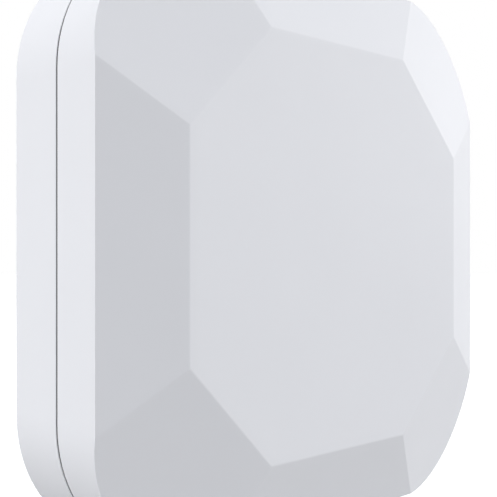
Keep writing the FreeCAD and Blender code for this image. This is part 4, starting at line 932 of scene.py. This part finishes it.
PAD_WIDTH = 5 * MM
pads, pads_half = span("cell_pads")
pad_across = pads_half.x - PAD_WIDTH / 2
pad_outlines = [rectangle(side * pad_across, pads.z, PAD_WIDTH / 2, pads_half.z) for side in (-1, 1)]
foam_piece("cell_pad_strips", pad_outlines, "cell_pads", soft_edge=0.3 * MM)

SEAL_WIDTH = 1.2 * MM
seal_low, seal_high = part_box("sensor_gasket")
seal_outline = [
    (seal_low.x, seal_low.z),
    (seal_low.x + SEAL_WIDTH, seal_low.z),
    (seal_low.x + SEAL_WIDTH, seal_high.z - SEAL_WIDTH),
    (seal_high.x - SEAL_WIDTH, seal_high.z - SEAL_WIDTH),
    (seal_high.x - SEAL_WIDTH, seal_low.z),
    (seal_high.x, seal_low.z),
    (seal_high.x, seal_high.z),
    (seal_low.x, seal_high.z),
]
foam_piece("chamber_seal", [seal_outline], "sensor_gasket", soft_edge=0.15 * MM)

# Dust mesh
# Woven black polyester strip, stuck behind each row of air slots.

THREAD_PITCH = 0.35 * MM
cloth = Finish("woven_mesh", (0.05, 0.05, 0.055), roughness=0.7)
threads = []
for name in ("X", "Y"):
    turn = cloth.math("MULTIPLY", cloth.off(name, 0), 2 * math.pi / THREAD_PITCH)
    threads.append(cloth.math("SINE", turn))
crossing = cloth.math("MAXIMUM", *threads)
cloth.tint(crossing, (0.015, 0.015, 0.017), (0.085, 0.085, 0.09))
cloth.bump(crossing, depth=0.06 * MM)
dress(cloth, "lower_dust_mesh", "upper_dust_mesh")

# Floor and surround
# A plain white floor stands below the object, in front of a white surround. Both keep their white for the
# camera, in gloss and through clear plastic, while the object gets a level light, and less of it from below.

FLOOR_DROP = 0.16
FLOOR_RADIUS = 6.0
FLOOR_SIDES = 96
FLOOR_GREY = 0.2
FLOOR_GLOW = 0.82
AMBIENT = 0.28
AMBIENT_TINT = (0.95, 1.0, 1.12)


def view_rays(tree):
    """1 for rays from the camera, and for those that gloss or clear plastic sends on."""
    path = tree.nodes.new("ShaderNodeLightPath")
    total = path.outputs["Is Camera Ray"]
    for name in ("Is Glossy Ray", "Is Transmission Ray"):
        either = tree.nodes.new("ShaderNodeMath")
        either.operation = "MAXIMUM"
        tree.links.new(total, either.inputs[0])
        tree.links.new(path.outputs[name], either.inputs[1])
        total = either.outputs["Value"]
    return total


floor_mesh = bmesh.new()
bmesh.ops.create_circle(floor_mesh, cap_ends=True, segments=FLOOR_SIDES, radius=FLOOR_RADIUS)
bmesh.ops.translate(floor_mesh, verts=floor_mesh.verts, vec=(0, 0, -FLOOR_DROP))
floor_data = bpy.data.meshes.new("floor")
floor_mesh.to_mesh(floor_data)
floor_mesh.free()
floor = bpy.data.objects.new("floor", floor_data)
bpy.context.scene.collection.objects.link(floor)

floor_paint = bpy.data.materials.new("floor_paint")
floor_paint.use_nodes = True
paint = floor_paint.node_tree
paint.nodes.remove(paint.nodes["Principled BSDF"])
dim = paint.nodes.new("ShaderNodeBsdfDiffuse")
dim.inputs["Color"].default_value = (FLOOR_GREY, FLOOR_GREY, FLOOR_GREY, 1.0)
white = paint.nodes.new("ShaderNodeBsdfDiffuse")
glow = paint.nodes.new("ShaderNodeEmission")
glow.inputs["Strength"].default_value = FLOOR_GLOW
bright = paint.nodes.new("ShaderNodeAddShader")
paint.links.new(white.outputs["BSDF"], bright.inputs[0])
paint.links.new(glow.outputs["Emission"], bright.inputs[1])
floor_choice = paint.nodes.new("ShaderNodeMixShader")
paint.links.new(view_rays(paint), floor_choice.inputs["Fac"])
paint.links.new(dim.outputs["BSDF"], floor_choice.inputs[1])
paint.links.new(bright.outputs["Shader"], floor_choice.inputs[2])
paint.links.new(floor_choice.outputs["Shader"], paint.nodes["Material Output"].inputs["Surface"])
floor_data.materials.append(floor_paint)

surround = bpy.data.worlds.new("surround")
surround.use_nodes = True
bpy.context.scene.world = surround
sky = surround.node_tree
ambient = sky.nodes["Background"]
ambient.inputs["Color"].default_value = (*AMBIENT_TINT, 1.0)
ambient.inputs["Strength"].default_value = AMBIENT
backdrop = sky.nodes.new("ShaderNodeBackground")
backdrop.inputs["Color"].default_value = (1.0, 1.0, 1.0, 1.0)
backdrop.inputs["Strength"].default_value = 1.0
sky_choice = sky.nodes.new("ShaderNodeMixShader")
sky.links.new(view_rays(sky), sky_choice.inputs["Fac"])
sky.links.new(ambient.outputs["Background"], sky_choice.inputs[1])
sky.links.new(backdrop.outputs["Background"], sky_choice.inputs[2])
sky.links.new(sky_choice.outputs["Shader"], sky.nodes["World Output"].inputs["Surface"])

# Studio lamps
# Two soft boxes graze the front from the right and from above, so that each facet takes its own tone. Two
# more light the left side wall from behind, and a wide one fills in from the front.


def lamp_from(name, direction, distance, size, power):
    """A square lamp that faces the object from a direction."""
    light = bpy.data.lights.new(name, "AREA")
    light.shape = "SQUARE"
    light.size = size
    light.energy = power
    stand = bpy.data.objects.new(name, light)
    bpy.context.scene.collection.objects.link(stand)
    way = Vector(direction).normalized()
    stand.location = way * distance
    stand.rotation_mode = "QUATERNION"
    stand.rotation_quaternion = way.to_track_quat("Z", "Y")
    return stand


lamp_from("key_right", (0.88, -0.33, 0.25), distance=1.6, size=0.8, power=8.6)
lamp_from("key_top", (0.30, -0.30, 0.90), distance=1.6, size=0.8, power=3.8)
lamp_from("left_low", (-0.85, 0.50, 0.05), distance=1.6, size=0.7, power=14.1)
lamp_from("left_high", (-0.60, 0.45, 0.65), distance=1.6, size=0.7, power=8.4)
front_lamp = lamp_from("front_lamp", (-0.1, -1.0, 0.1), distance=2.0, size=2.4, power=36.0)

# Its mirror image would bleach the bare metal inside
front_lamp.visible_glossy = False

# Camera
# It stands in front and to the left, level with the middle, and so near that the frame cuts the top and the
# bottom.

CAMERA_TURN = math.radians(44.91)
CAMERA_ACROSS = 106.13 * MM
CAMERA_BACK = 108.72 * MM
CAMERA_DROP = 0.47 * MM
SENSOR_WIDTH = 36.0
FOCAL_LENGTH = 65.92
SHIFT_UP = 0.0035
NEAREST = 0.01
FURTHEST = 50.0
lens = bpy.data.cameras.new("camera")
lens.sensor_width = SENSOR_WIDTH
lens.lens = FOCAL_LENGTH
lens.shift_y = SHIFT_UP
lens.clip_start = NEAREST
lens.clip_end = FURTHEST
camera = bpy.data.objects.new("camera", lens)
bpy.context.scene.collection.objects.link(camera)
camera.location = (-CAMERA_ACROSS, -CAMERA_BACK, -CAMERA_DROP)
camera.rotation_euler = (math.pi / 2, 0.0, -CAMERA_TURN)
bpy.context.scene.camera = camera
bpy.context.scene.view_settings.view_transform = "Standard"
